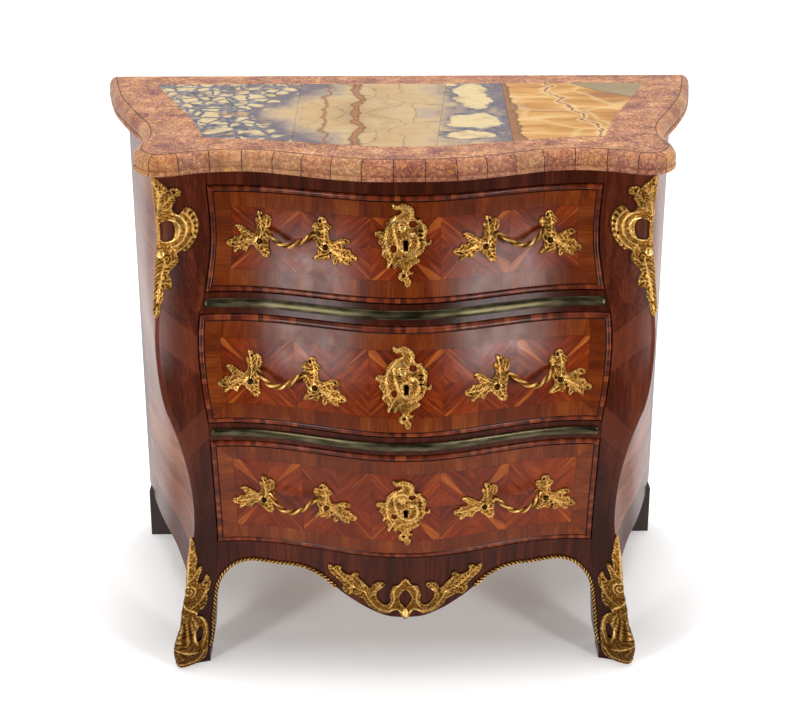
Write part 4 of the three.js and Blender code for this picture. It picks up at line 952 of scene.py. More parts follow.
def make_drawer_front(name, wood, seed):
    low, high = OPENINGS[name][0] + DRAWER_GAP, OPENINGS[name][1] - DRAWER_GAP

    def half(z):
        return opening_x(z) - DRAWER_GAP

    def to_edge(x, z):
        return np.minimum.reduce([half(z) - np.abs(x), z - low, high - z])

    last = edge_steps[-1]
    rows = max(round((high - low - 2 * last) / 0.005), 8)
    z = np.concatenate([low + edge_steps, np.linspace(low + last, high - last, rows + 1)[1:-1],
                        (high - edge_steps)[::-1]])
    right = [half(z) - step for step in edge_steps]
    middle = [share * (half(z) - last) for share in np.linspace(-1, 1, 101)[1:-1]]
    inner_half = half(np.linspace(low, high, 40)).min()
    front, rear = [], []
    for x in [*(-side for side in right), *middle, *reversed(right)]:
        front.append(stack(x, front_y(x, z) - FRONT_PROUD + bead_drop(to_edge(x, z)), z))
        behind = x * inner_half / half(z)
        rear.append(stack(behind, plan_wave(behind) + inner_y(name), z))
    verts, faces = carved(*shell(front, rear), front_tools(name))

    x, y, z = verts.T
    field_half = half(z) - BEAD - BANDING
    centre, tall = (low + high) / 2, (high - low) / 2 - BEAD - BANDING
    depth = y - (front_y(x, z) - FRONT_PROUD)
    fields = {
        "unit_x": 2.5 * (1 + x / field_half),
        "unit_z": (z - centre) / tall,
        "inside_x": np.abs(x) - field_half,
        "inside_z": np.abs(z - centre) - tall,
        "edge": to_edge(x, z),
        "outside": 1 - between(depth, 0.0045, 0.0055),
        "seed": np.full(len(x), seed),
    }
    put(f"drawer_{name}_front_fine", verts, faces, wood, f"drawer_{name}",
        [f"drawer_{name}_front"], fields)


# The stone top
def centripetal(points, closed=False, count=24):
    """A Catmull-Rom curve through points, as count steps between each two of them."""
    p = np.asarray(points, float)
    if closed:
        p = np.concatenate([p[-1:], p, p[:2]])
    else:
        p = np.concatenate([2 * p[:1] - p[1:2], p, 2 * p[-1:] - p[-2:-1]])
    out = []
    for a, b, c, d in zip(p, p[1:], p[2:], p[3:]):
        gaps = [max(math.sqrt(np.linalg.norm(v)), 1e-4) for v in (b - a, c - b, d - c)]
        t0, t1, t2, t3 = np.cumsum([0, *gaps])
        t = np.linspace(t1, t2, count, endpoint=False)[:, None]
        one = (t1 - t) / (t1 - t0) * a + (t - t0) / (t1 - t0) * b
        two = (t2 - t) / (t2 - t1) * b + (t - t1) / (t2 - t1) * c
        three = (t3 - t) / (t3 - t2) * c + (t - t2) / (t3 - t2) * d
        first = (t2 - t) / (t2 - t0) * one + (t - t0) / (t2 - t0) * two
        second = (t3 - t) / (t3 - t1) * two + (t - t1) / (t3 - t1) * three
        out.append((t2 - t) / (t2 - t1) * first + (t - t1) / (t2 - t1) * second)
    line = np.concatenate(out)
    return line if closed else np.concatenate([line, [p[-2]]])


def evenly(line, pitch, closed=False):
    """The line again with points about a pitch apart, and their lengths along it."""
    line = np.concatenate([line, line[:1]]) if closed else line
    run = np.concatenate([[0], np.cumsum(np.linalg.norm(np.diff(line, axis=0), axis=1))])
    count = max(round(run[-1] / pitch), 3)
    at = np.linspace(0, run[-1], count + 1)[:count if closed else count + 1]
    return np.stack([np.interp(at, run, c) for c in line.T], axis=1), at


STONE_SHARES = np.array([
    (1, 0), (0.99, 0.054), (0.94, 0.268), (0.878, 0.438), (0.8, 0.63), (0.785, 0.75),
    (0.796, 0.805), (0.79, 0.878), (0.752, 0.93), (0.7, 0.945), (0.606, 0.911), (0.51, 0.893),
    (0.429, 0.898), (0.337, 0.929), (0.224, 0.97), (0.122, 0.995), (0, 1)])
MOULDING = [
    (0.06, 0), (0.025, 0.03), (0.005, 0.075), (0, 0.12), (0.01, 0.17), (0.035, 0.215),
    (0.07, 0.245), (0.1, 0.255), (0.1, 0.29), (0.075, 0.3), (0.045, 0.34), (0.028, 0.4),
    (0.022, 0.47), (0.03, 0.55), (0.05, 0.63), (0.085, 0.71), (0.13, 0.79), (0.19, 0.865),
    (0.26, 0.925), (0.34, 0.965), (0.42, 0.99), (0.45, 1), (0.52, 1), (0.62, 1)]
FIELD_BACK = (0.82, 0.112)
FIELD_SIDE = [FIELD_BACK, (0.745, 0.316), (0.655, 0.545), (0.6, 0.75)]
field_front = smooth_table([
    (0, 0.855), (0.11, 0.847), (0.225, 0.823), (0.347, 0.793), (0.47, 0.765), (0.6, 0.75)])
FIELD_DEPTH = 0.01
BLOCK = 0.045


def inside(points, loop):
    """Which points lie in a closed outline."""
    x, y = points.T
    found = np.zeros(len(points), bool)
    for (ax, ay), (bx, by) in zip(loop, np.roll(loop, -1, axis=0)):
        crosses = (ay > y) != (by > y)
        at = ax + (y - ay) * (bx - ax) / ((by - ay) if by != ay else 1e-12)
        found ^= crosses & (x < at)
    return found


def rim_distance(points, loops, pitch):
    """How far each point is from the nearest edge of the outlines, by places on it."""
    rim = np.concatenate([evenly(loop, pitch / 4, closed=True)[0] for loop in loops])
    tree = KDTree(len(rim))
    for i, place in enumerate(rim):
        tree.insert((*place, 0), i)
    tree.balance()
    return np.array([tree.find((*place, 0))[2] for place in points])


def nearest(points, places):
    """For each point the number of the place closest to it."""
    return np.linalg.norm(points[:, None] - places[None], axis=2).argmin(axis=1)


def filled(points, loops):
    """Which points lie in the first outline and outside the others."""
    within = inside(points, loops[0])
    for hole in loops[1:]:
        within &= ~inside(points, hole)
    return within


def flat_mesh(loops, pitch):
    """Triangles that fill the first outline outside the others, with points a pitch apart."""
    low, high = loops[0].min(0), loops[0].max(0)
    rows = np.arange(low[1], high[1], pitch * 0.866)
    grid = np.array([(x + (r % 2) * pitch / 2, y) for r, y in enumerate(rows)
                     for x in np.arange(low[0], high[0], pitch)])
    grid = grid[filled(grid, loops)]
    grid = grid[rim_distance(grid, loops, pitch) > pitch * 0.55]
    edges, start = [], 0
    for loop in loops:
        edges += [(start + i, start + (i + 1) % len(loop)) for i in range(len(loop))]
        start += len(loop)
    points = [Vector(p) for p in np.concatenate([*loops, grid])]
    found = delaunay_2d_cdt(points, edges, [], 0, 1e-9)
    places, faces = np.array([v[:] for v in found[0]]), [tuple(f) for f in found[2]]
    for loop in loops:
        places[nearest(loop, places)] = loop
    kept = filled(np.array([places[list(f)].mean(0) for f in faces]), loops)
    return places, [f for f, keep in zip(faces, kept) if keep]


def field_outline():
    """The pocket of the inlaid stones, with the corners of the stones' own outlines."""
    seams = [-0.6, -0.334, 0.092, 0.32, 0.6]
    front = [-0.6]
    for a, b in zip(seams, seams[1:]):
        front += [a + (b - a) * t for t in (0.2, 0.4, 0.6, 0.8, 1)]
    points = [(-x, y) for x, y in FIELD_SIDE[:-1]]
    points += [(x, field_front(abs(x))) for x in front]
    points += FIELD_SIDE[:-1][::-1]
    return np.array([(x * STONE_HALF, BACK - y * STONE_DEPTH) for x, y in points])


def slab_edge():
    """The moulded edge as rings, how far each place lies inwards, and its block's number."""
    half, run = evenly(centripetal(STONE_SHARES * (STONE_HALF, -STONE_DEPTH)), 0.006)
    before, after = np.roll(half, 1, axis=0), np.roll(half, -1, axis=0)
    before[0], after[-1] = half[0], half[-1]
    along = unit(after - before)
    block = (run[-1] - run) / BLOCK
    block = np.concatenate([block, -block[:-1][::-1]]) + 40.4
    rings, depth = [], []
    for inset, rise in MOULDING:
        reach = inset * STONE_THICK
        x = half[:, 0] + along[:, 1] * reach
        y = half[:, 1] - along[:, 0] * reach
        y[0], x[-1] = 0, 0
        right = stack(x, y + BACK, CASE_TOP + rise * STONE_THICK)
        rings.append(np.concatenate([right, mirror(right[:-1])[::-1]]))
        depth.append(np.full(len(block), reach))
    return np.array(rings), np.ravel(depth), np.tile(block, len(MOULDING))


def make_slab(stone):
    """The slab: its moulded edge, the flat of its top, and the pocket of the inlaid stones."""
    rings, depth, along = slab_edge()
    rows, columns = rings.shape[:2]
    start = rows * columns
    rim, pocket = rings[-1][:, :2], field_outline()
    count = len(pocket)
    flat, top_faces = flat_mesh([rim, pocket], 0.02)
    verts = np.concatenate([
        rings.reshape(-1, 3), stack(*flat.T, TOP), stack(*pocket.T, TOP - FIELD_DEPTH)])
    faces = grid_faces(rows, columns, closed=True)
    faces.append(tuple(range(columns - 1, -1, -1)))
    faces += [tuple(start + i for i in f) for f in top_faces]
    edge = (start + nearest(pocket, flat)).tolist()
    low = [start + len(flat) + i for i in range(count)]
    faces += [(edge[i], edge[(i + 1) % count], low[(i + 1) % count], low[i]) for i in range(count)]
    faces.append(tuple(low))
    joined = {start + j: start - columns + i for i, j in enumerate(nearest(rim, flat))}
    faces = [tuple(joined.get(i, i) for i in f) for f in faces]
    used = sorted({i for f in faces for i in f})
    renamed = {old: new for new, old in enumerate(used)}
    faces = [tuple(renamed[i] for i in f) for f in faces]
    rest = len(verts) - start
    well_inside, no_block = 0.03, 40.0
    fields = {"depth": np.concatenate([depth, np.full(rest, well_inside)])[used],
              "along": np.concatenate([along, np.full(rest, no_block)])[used]}
    put("stone_top_fine", verts[used], faces, stone, "carcase", ["marble_slab"],
        fields, angle=38)


# Cast mounts: flat shapes in millimetres with worked relief, then bent over the case. A shape has
# an outline, holes and cuts; strokes of (width, rise, veins, line), bosses of (x, z, width,
# height, rise), fans of (x, z, inner and outer radius, pitch, rise, first and last degree), rings
# of (x, z, radius, rise) and toes of (x, z, radius, rise).
PITCH, BACK_PITCH, TOOTH = 0.85, 4.0, 4.4
MOUNT_GAP = 0.0008
CHUTE_LOW, APRON_MOUNT_LOW = 0.599, 0.103
ROPE_PITCH = 0.0007


def stroke(points, line):
    """Distance from a smooth line, and how far along it the nearest place is, in mm."""
    path, run = evenly(centripetal(line, count=10), 0.6)
    gaps = np.linalg.norm(points[:, None] - path[None], axis=2)
    closest = gaps.argmin(axis=1)
    return gaps.min(axis=1), run[closest], run[-1]


def stroke_relief(points, strokes, swing):
    """Ridges along the strokes, and the lobed and veined leaf beside the nearest one."""
    x, z = points.T
    worn = 0.62 + 0.38 * np.sin(0.31 * x + 1.7 * np.sin(0.19 * z))
    ridges, carving, closest = np.zeros(len(x)), np.zeros(len(x)), np.full(len(x), np.inf)
    for wide, rise, vein, line in strokes:
        t, s, length = stroke(points, line)
        taper = 0.6 + 0.4 * np.sin(np.pi * np.clip(s / length, 0.04, 0.96))
        ridges += 0.6 * rise * np.exp(-(t / (wide * taper)) ** 2)
        lobes = np.abs(np.sin(np.pi * (s - 0.8 * t + swing) / 6.4))
        fine = worn * np.cos(2 * np.pi * (s - 1.2 * t + 0.6 * swing) / 2.8)
        leafy = vein * (3.2 * lobes + 0.7 * fine - 1.8) * between(t, 0.5 * wide, 0.5 * wide + 1.2)
        carving = np.where(t < closest, leafy, carving)
        closest = np.minimum(closest, t)
    return ridges, carving


def relief_height(points, loops, work):
    """Height of the relief above the back of a casting, in mm."""
    x, z = points.T
    d = rim_distance(points, loops, PITCH)
    away, hollow = between(d, 0, 1.3), between(d, 1.8, 3.8)
    swing = 1.2 * np.sin(0.61 * x + 0.8 * np.sin(0.47 * z)) + 1.0 * np.sin(0.53 * z - 0.3 * x)
    ridges, carving = stroke_relief(points, work.get("strokes", []), swing)
    height = 0.9 + 2.1 * np.sqrt(1 - (1 - between(d, 0, 1.5)) ** 2)
    height += 0.3 * np.exp(-((d - 1.3) / 0.7) ** 2)
    height -= work.get("hollow", 0.7) * hollow * hollow * (3 - 2 * hollow)
    height += 0.16 * np.sin(1.9 * x + 1.3 * swing) * np.sin(1.7 * z - swing) * away
    height += (ridges + carving * between(d, 0.4, 1.4)) * away
    for u, v, wide, tall, rise in work.get("bosses", []):
        r = np.hypot((x - u) / wide, (z - v) / tall)
        height += rise * np.sqrt(np.clip(1 - r * r, 0, 1))
    for u, v, low, high, pitch, rise, first, last in work.get("fans", []):
        r = np.hypot(x - u, z - v)
        turn = np.degrees(np.arctan2(z - v, x - u))
        zone = between(r, low, low + 1.2) * (1 - between(r, high - 1.2, high))
        zone *= between(turn, first, first + 6) * (1 - between(turn, last - 6, last))
        height += rise * zone * away * (1 - 2 * np.abs(np.cos(np.pi * turn / pitch)) ** 3)
    for u, v, radius, rise in work.get("rings", []):
        r = np.hypot(x - u, z - v)
        height += rise * np.exp(-((r - radius) / 1.1) ** 2) * away
    for u, v, reach, rise in work.get("toes", []):
        height += rise * np.clip(1 - (np.hypot(x - u, z - v) / reach) ** 2, 0, 1)
    return np.maximum(height, 0.6)


def serrated(loop, run, depth):
    """A closed outline pushed outwards in small teeth."""
    along = unit(np.roll(loop, -1, axis=0) - np.roll(loop, 1, axis=0))
    turn = np.sum(loop[:, 0] * np.roll(loop[:, 1], -1) - loop[:, 1] * np.roll(loop[:, 0], -1))
    out = np.sign(turn) * np.stack([along[:, 1], -along[:, 0]], axis=1)
    length = run[-1] + PITCH
    teeth = np.abs(np.sin(np.pi * run * round(length / TOOTH) / length))
    return loop + out * (depth * (1.6 * teeth[:, None] - 0.55) + 0.2)


def casting(work):
    """The flat shape of a mount: its front and back triangles, heights and shade of relief."""
    outline = evenly(centripetal(work["outline"], closed=True, count=8), PITCH, closed=True)
    holes = [centripetal(hole, closed=True, count=6) for hole in work.get("holes", [])]
    holes += [np.array(hole, float) for hole in work.get("cuts", [])]
    loops = [serrated(*outline, work.get("teeth", 0.5))]
    loops += [evenly(hole, PITCH, closed=True)[0] for hole in holes]
    front, front_faces = flat_mesh(loops, PITCH)
    back, back_faces = flat_mesh(loops, BACK_PITCH)
    height = relief_height(front, loops, work)
    plain = relief_height(front, loops, {"hollow": 0.2, "toes": work.get("toes", [])})
    rim = np.concatenate(loops)
    where = dict(zip(nearest(rim, front).tolist(), nearest(rim, back).tolist()))
    sides = {pair: True for f in front_faces for pair in zip(f, f[1:] + f[:1])}
    start = len(front)
    walls = [(b, a, start + where[a], start + where[b]) for a, b in sides if (b, a) not in sides]
    none = np.zeros(len(back))
    return {
        "flat": np.concatenate([front, back]),
        "lift": np.concatenate([height, none]),
        "shade": np.concatenate([np.clip(0.55 + (height - plain) / 2.8, 0, 1), none]),
        "faces": front_faces + walls + [tuple(start + i for i in reversed(f)) for f in back_faces],
    }


def bent(shape, skin, x, z, gap, *more):
    """The casting laid on a skin of the case, with its origin at (x, z)."""
    u, v = shape["flat"].T / 1000
    verts = skin(x + u, z + v, gap + shape["lift"] / 1000, *more)
    return verts, outward(verts, shape["faces"])


def arc(x, z, radius, first, last):
    return around(x, z, radius, radius, np.radians(np.linspace(first, last, 9)))


def spiral(x, z, radius, first, turns, count):
    """A line that turns inwards to a fifth of its radius."""
    reach = radius * np.linspace(1, 0.2, count)
    return around(x, z, reach, reach, np.radians(first + 360 * np.linspace(0, turns, count)))


LEAF_LEFT = {
    "outline": [
        (-1.4, 45.7), (4.6, 44), (7.5, 38.5), (11.8, 41), (17.3, 37), (18.6, 30), (16.6, 22),
        (13.5, 18.5), (16.6, 15.2), (15.6, 7), (14.2, -2), (14, -9), (15.6, -17.6), (12.5, -23.6),
        (6, -22.6), (-0.5, -15.5), (-4.9, -11.6), (-8.6, -7), (-13, -6.6), (-16.3, -11),
        (-19.7, -17.4), (-23.4, -14.5), (-30.2, -13.4), (-36, -18.6), (-38.9, -15.5), (-36.8, -11),
        (-44.5, -8.4), (-48.6, -3.6), (-46, 0.8), (-38.5, 2.6), (-36.4, 6.8), (-31, 6.2),
        (-26.5, 8), (-28.6, 13.7), (-34.4, 18), (-33.8, 22.6), (-27.5, 23.4), (-19.4, 18.8),
        (-12.6, 14), (-8.3, 11.7), (-4.9, 14.7), (-2.6, 22.6), (-5.5, 31), (-3.6, 35), (1, 33),
        (-2, 41)],
    "strokes": [
        (1.5, 1.6, 0.4, [(-46, -3), (-30, -3), (-15, 1), (-3, 1)]),
        (1.5, 1.6, 0.4, [(2, 4), (4, 16), (3, 28), (1, 43)]),
        (1.3, 1.4, 0.4, [(5, 8), (10, 20), (13, 37)]),
        (1.3, 1.4, 0.4, [(2, -2), (7, -10), (11, -21)]),
        (1.2, 1.3, 0.4, [(-5, -1), (-14, -6), (-19, -15)]),
        (1.2, 1.3, 0.4, [(-14, -1), (-27, -8), (-36, -16)]),
        (1.4, 1.4, 0.4, [(-6, 4), (-18, 12), (-32, 21)]),
        (1.2, 1.2, 0.4, [(4, 2), (11, 6), (15, 13)])],
    "bosses": [(0, 0, 8, 8, 1.0), (-33, 18.5, 1.7, 1.7, -2.2), (4, 37.5, 2.0, 2.4, -2.6),
               (-39, -6, 1.6, 1.6, -2.0), (9, -17, 1.6, 1.6, -1.8)],
}
LEAF_RIGHT = {
    "outline": [
        (-4.4, 44.5), (1.6, 42), (4, 36), (9.7, 31.8), (9.4, 27.4), (5.6, 24), (6.4, 15),
        (8.4, 10), (14, 9.4), (20.8, 12.6), (28, 15.4), (35.4, 12.8), (36.4, 7.8), (30.8, 6),
        (26.8, 4.4), (29.5, 0.6), (36.2, 0), (38.4, -5), (45.8, -10.4), (46.4, -15.4),
        (40, -18), (34.8, -18.4), (35.6, -24.4), (30.4, -24.6), (25.4, -21.4), (20, -20.6),
        (14.4, -26), (11.4, -21), (12.6, -13.8), (8.4, -11.6), (6.6, -17.4), (3, -20.4),
        (-2.2, -18), (-9, -20.2), (-17.3, -20.4), (-15, -14.4), (-10.8, -9), (-10.6, -1),
        (-14.8, 7), (-18.2, 13.6), (-14.6, 19), (-17.4, 26), (-17, 33.4), (-12.4, 36), (-9.4, 33.6),
        (-9, 40.4)],
    "strokes": [
        (1.5, 1.6, 0.4, [(44, -13), (28, -12), (12, -4), (2, 0)]),
        (1.4, 1.4, 0.4, [(33, 11), (22, 8), (9, 2)]),
        (1.5, 1.6, 0.4, [(-4, 41), (0, 28), (0, 6)]),
        (1.3, 1.4, 0.4, [(-14, 33), (-12, 20), (-6, 6)]),
        (1.3, 1.4, 0.4, [(32, -22), (20, -12), (8, -5)]),
        (1.2, 1.3, 0.4, [(14, -23), (9, -13), (2, -4)]),
        (1.3, 1.4, 0.4, [(-14, -18), (-7, -12), (-2, -3)]),
        (1.1, 1.2, 0.4, [(36, -3), (24, -2), (12, 0)])],
    "bosses": [(0, 0, 8, 8, 1.0), (31, 10.5, 1.7, 1.7, -2.0), (-6, 37, 2.0, 2.4, -2.6),
               (40, -14, 1.6, 1.6, -2.0), (8, -9, 1.7, 1.7, -2.0)],
}
KEY_PLATE = {
    "outline": [
        (-19.4, 58), (-12.4, 55.6), (-5.5, 58), (3, 56), (9.5, 50.8), (12, 44),
        (11.4, 38.5), (15.6, 33.8), (21.8, 34.4), (22.8, 29.4), (27.4, 25.4), (30.2, 19),
        (29.4, 11.6), (28.2, 5), (29.4, -0.6), (33.6, 0.6), (34.6, 4.4), (36.4, 1.4), (34.6, -3.6),
        (29.4, -4.4), (26.4, -8.6), (24, -14.4), (18.8, -19), (15.6, -21.2), (20.4, -24.6),
        (18, -28.8), (10.4, -33), (5.5, -38), (4.6, -41.2), (10.8, -42.6), (9, -45.4),
        (3.8, -47), (3.8, -50.4), (7, -54.4), (6.4, -60.4), (2.4, -64), (-1.4, -61.6),
        (-2.4, -56), (-7, -55), (-10.9, -50.6), (-9.8, -44.6), (-5.6, -41.2), (-8.2, -36.4),
        (-12.8, -34.6), (-14.6, -38.4), (-18.6, -36.4), (-18.4, -31), (-21.6, -32),
        (-23.8, -38.2), (-27.2, -36), (-26, -29), (-28.4, -22.8), (-31.6, -21), (-34.6, -17),
        (-32.6, -11.6), (-34.8, -5), (-38.9, 0.4), (-37.4, 5.8), (-43.8, 10.2), (-42.4, 15.4),
        (-37, 17), (-30.4, 16.6), (-28.4, 22.4), (-26.8, 29.4), (-22.4, 34), (-17.4, 39),
        (-10.5, 41.4), (-5.4, 45.6), (-8.6, 48.6), (-14, 48.6), (-18.4, 52.2)],
    "holes": [oval(9.5, 27.3, 5, 4.4), oval(-17.4, -9.1, 4, 5), oval(-3.2, -47.5, 2.4, 2.2)],
    "cuts": [[(x * 1000, z * 1000) for x, z in keyhole(0, 0)]],
    "teeth": 0.6,
    "strokes": [
        (1.8, 1.9, 0.35, [(6, 36), (8, 44), (2, 51), (-8, 52), (-17, 55)]),
        (1.6, 1.8, 0.35, [(-14, 37), (-22, 27), (-27, 15), (-28, 2), (-25, -12), (-20, -24)]),
        (2.2, 1.9, 0.3, arc(-6, 22, 11.5, 20, 205)),
        (2.2, 2.0, 0.3, [(-17, 16), (-14, 4), (-9, -8), (0, -15), (11, -14), (17, -6), (17, 6),
                         (12, 14)]),
        (1.4, 1.6, 0.3, [(-24, 4), (-32, 8), (-41, 13)]),
        (1.4, 1.6, 0.3, [(-26, -10), (-31, -14), (-33, -17)]),
        (1.5, 1.8, 0.35, [(12, 36), (18, 31), (24, 22), (25, 12), (23, 2), (32, -1)]),
        (1.5, 1.7, 0.35, [(22, -10), (14, -18), (4, -22), (-6, -24), (-14, -31), (-17, -34)]),
        (1.4, 1.2, 0.35, [(17, -25), (8, -29), (1, -35)]),
        (1.4, 0.8, 0.2, [(-4, -26), (-2, -36), (1, -46), (3, -61)]),
        (1.2, 0.8, 0.25, arc(-3.2, -47.5, 4.6, 20, 300)),
        (1.3, 1.5, 0.3, [(-14, -16), (-20, -26), (-25, -36)]),
        (1.3, 1.5, 0.3, [(-19, 28), (-12, 38), (-4, 42)])],
    "bosses": [(-6, 22, 7.5, 7.5, 1.3), (9.2, 12, 3.4, 4.2, 1.6), (21, 17, 4.2, 1.3, -2.2),
               (21.6, 10.4, 4.2, 1.3, -2.2), (21, 4, 4.0, 1.3, -2.2), (-9, 16, 2.6, 1.2, -1.6),
               (-6, 26, 3.0, 1.2, -1.4)],
    "rings": [(0, 0, 7.4, 1.0)],
}
CHUTE = {
    "outline": [
        (-1, 203), (-4, 196), (-6, 186), (-5, 174), (-7.5, 160), (-6, 146), (-5, 132), (-5.5, 112),
        (-6.5, 96), (-5, 84), (-7, 70), (-5.5, 54), (-8, 42), (-6, 26), (-4, 12), (0, 0),
        (5, 0), (7.5, 9), (8.5, 18), (11, 26), (10.5, 35), (13, 37.5), (19, 36), (21.5, 42),
        (20, 50), (16, 57), (18.5, 63), (24, 68), (28.5, 74), (28.5, 81), (25.5, 86),
        (31, 90), (38, 88.5), (46, 96), (52, 106), (56, 118), (56.5, 132), (53, 144), (46.5, 152),
        (39.5, 153), (35, 148), (29.5, 144), (24, 147), (20.5, 152), (22.5, 160), (27, 164),
        (26.5, 170), (33, 171.5), (35.5, 178), (32, 183), (24, 184.5), (19, 182), (15, 188),
        (9.5, 194), (5, 200)],
    "holes": [[(3.6, 109), (3.4, 121), (3.8, 133), (12, 136), (19.5, 132), (22.6, 121), (19.5, 110),
               (12, 106.5)]],
    "teeth": 0.7,
    "strokes": [
        (1.8, 1.9, 0.4, [(0, 144), (3, 160), (4, 178), (0, 198)]),
        (1.5, 1.6, 0.4, [(6, 156), (16, 166), (31, 178)]),
        (1.4, 1.5, 0.4, [(5, 170), (10, 180), (13, 188)]),
        (1.3, 1.4, 0.35, [(9, 152), (17, 154), (24, 160)]),
        (2.2, 2.6, 0.2, arc(12, 121, 17, -110, 110)),
        (2.0, 2.2, 0.2, arc(15, 121, 24.5, -82, 82)),
        (1.8, 1.8, 0.2, arc(17, 121, 31.5, -72, 72)),
        (1.8, 2.0, 0.4, [(10, 78), (7, 60), (4, 34), (2, 4)]),
        (1.4, 1.5, 0.4, [(9, 68), (16, 72), (26, 78)]),
        (1.3, 1.4, 0.4, [(7, 46), (12, 46), (18, 44)]),
        (1.2, 1.4, 0.35, [(5, 24), (7, 30), (10, 33)]),
        (1.3, 1.4, 0.35, [(16, 100), (22, 92), (26, 84)]),
        (1.2, 1.5, 0.25, [(-1, 104), (-1, 120), (-1, 138)])],
    "bosses": [(4, 88, 5.5, 7, 3.4), (3, 190, 1.8, 1.8, -2.2), (46, 112, 1.8, 2.2, -2.2),
               (3, 17, 1.7, 2.2, -1.8), (26, 177, 1.7, 1.7, -1.8)],
    "fans": [(17, 121, 33, 44, 13, 0.7, -80, 80)],
}
SABOT = {
    "outline": [
        (-4, 221), (-8, 212), (-11, 200), (-13, 186), (-11, 172), (-13, 158), (-16, 148),
        (-20, 136), (-24, 122), (-29, 108), (-31, 92), (-34, 76), (-37, 56), (-38, 34), (-36, 14),
        (-31, 4), (-14, 2), (6, 1.8), (26, 4), (40, 16), (43, 34), (42, 52), (40, 68),
        (35, 78), (28, 83.5), (22, 85), (23, 93), (29, 95.5), (33, 102), (33.5, 112), (31.5, 121),
        (35, 130), (35.5, 141), (31.5, 151), (27.5, 155), (25.5, 147), (21, 140), (15.5, 142),
        (16.5, 150), (19.5, 160), (20.5, 170), (16, 169), (12.5, 163), (11, 172), (12, 184),
        (8, 196), (5, 209), (0, 218)],
    "holes": [oval(28, 55, 4.6, 12)],
    "teeth": 0.6,
    "strokes": [
        (1.8, 2.0, 0.4, [(0, 140), (0, 160), (-1, 185), (-3, 216)]),
        (1.4, 1.6, 0.4, [(2, 144), (9, 154), (17, 167)]),
        (1.4, 1.5, 0.4, [(-4, 146), (-8, 162), (-10, 182)]),
        (1.4, 2.2, 0.25, spiral(3, 127, 11, -70, 1.6, 22)),
        (1.5, 1.8, 0.35, [(10, 98), (20, 106), (28, 122), (30, 148)]),
        (1.6, 2.0, 0.25, [(-18, 136), (-12, 120), (-4, 106), (8, 96), (22, 88), (34, 72), (38, 54),
                         (34, 34)]),
        (1.5, 1.8, 0.25, [(14, 84), (20, 66), (20, 48), (26, 38)]),
        (1.4, 1.6, 0.3, [(-22, 118), (-26, 96), (-30, 70), (-33, 46)]),
        (1.4, 1.6, 0.3, [(-10, 104), (-8, 92), (4, 84)]),
        (1.8, 2.6, 0.25, [(-34, 40), (-31, 22), (-29, 8)]),
        (1.8, 2.6, 0.25, [(-26, 42), (-22, 22), (-20, 6)]),
        (1.8, 2.6, 0.25, [(-16, 38), (-11, 22), (-10, 6)]),
        (1.6, 2.2, 0.25, [(-6, 8), (10, 10), (26, 12), (38, 26)]),
        (1.5, 1.8, 0.3, [(-2, 34), (12, 28), (26, 26)])],
    "bosses": [(-3, 196, 1.8, 2.2, -2.2), (29, 140, 1.8, 2.2, -2.0), (-7, 176, 1.6, 1.8, -1.8)],
    "fans": [(2, 120, 44, 78, 8, 0.6, -125, -62)],
    "toes": [(2.3, 30.8, 35.2, 7.5)],
}
spray = [
    (0.06, 0.08), (0.1, 0.18), (0.16, 0.16), (0.22, 0.11), (0.32, 0.12), (0.42, 0.18),
    (0.5, 0.27), (0.54, 0.36), (0.6, 0.4), (0.68, 0.45), (0.74, 0.42), (0.78, 0.45), (0.82, 0.52),
    (0.81, 0.6), (0.88, 0.72), (0.95, 0.8), (1, 0.92), (1, 1), (0.93, 0.96), (0.88, 1),
    (0.83, 0.98), (0.84, 0.9), (0.76, 0.84), (0.7, 0.84), (0.66, 0.9), (0.61, 0.88), (0.61, 0.8),
    (0.55, 0.72), (0.5, 0.64), (0.45, 0.6), (0.42, 0.68), (0.36, 0.74), (0.29, 0.74),
    (0.27, 0.68), (0.32, 0.6), (0.37, 0.52), (0.37, 0.42), (0.33, 0.33), (0.27, 0.28),
    (0.22, 0.3), (0.19, 0.38), (0.2, 0.48), (0.18, 0.58), (0.15, 0.68), (0.09, 0.7), (0.04, 0.8)]
spray_strokes = [
    (1.6, 1.9, 0.25, [(5, 10), (14, 17), (26, 13), (44, 18), (56, 32), (62, 44)]),
    (1.6, 1.7, 0.4, [(60, 42), (78, 50), (92, 60), (104, 72), (116, 82)]),
    (1.3, 1.5, 0.4, [(78, 50), (88, 46), (94, 46)]),
    (1.3, 1.5, 0.4, [(74, 56), (88, 68), (101, 80)]),
    (1.4, 1.6, 0.4, [(62, 48), (68, 60), (75, 72)]),
    (1.4, 1.6, 0.4, [(52, 36), (46, 48), (36, 60)]),
    (1.4, 1.8, 0.25, [(34, 22), (38, 34), (40, 44)]),
    (1.5, 1.9, 0.25, [(24, 18), (17, 32), (18, 46), (12, 56), (2, 66)]),
]
spray_eyes = [(112, 80, 1.8, 1.8, -1.8), (74, 70, 1.7, 1.7, -1.8), (35, 58, 1.7, 1.7, -1.8),
              (90, 47, 1.6, 1.6, -1.6)]
APRON_MOUNT = {
    "outline": [(0, 0), *[(118 * u, 84 * v) for u, v in spray], (0, 70),
                *[(-118 * u, 84 * v) for u, v in reversed(spray)]],
    "holes": [[(0, 50), (7, 42), (9, 34), (5, 26), (0, 20), (-5, 26), (-9, 34), (-7, 42)]],
    "teeth": 0.6,
    "strokes": spray_strokes + [
        (w, r, v, [(-x, z) for x, z in line]) for w, r, v, line in spray_strokes],
    "bosses": [(0, 10, 5, 8, 2), *spray_eyes, *[(-x, *rest) for x, *rest in spray_eyes]],
}


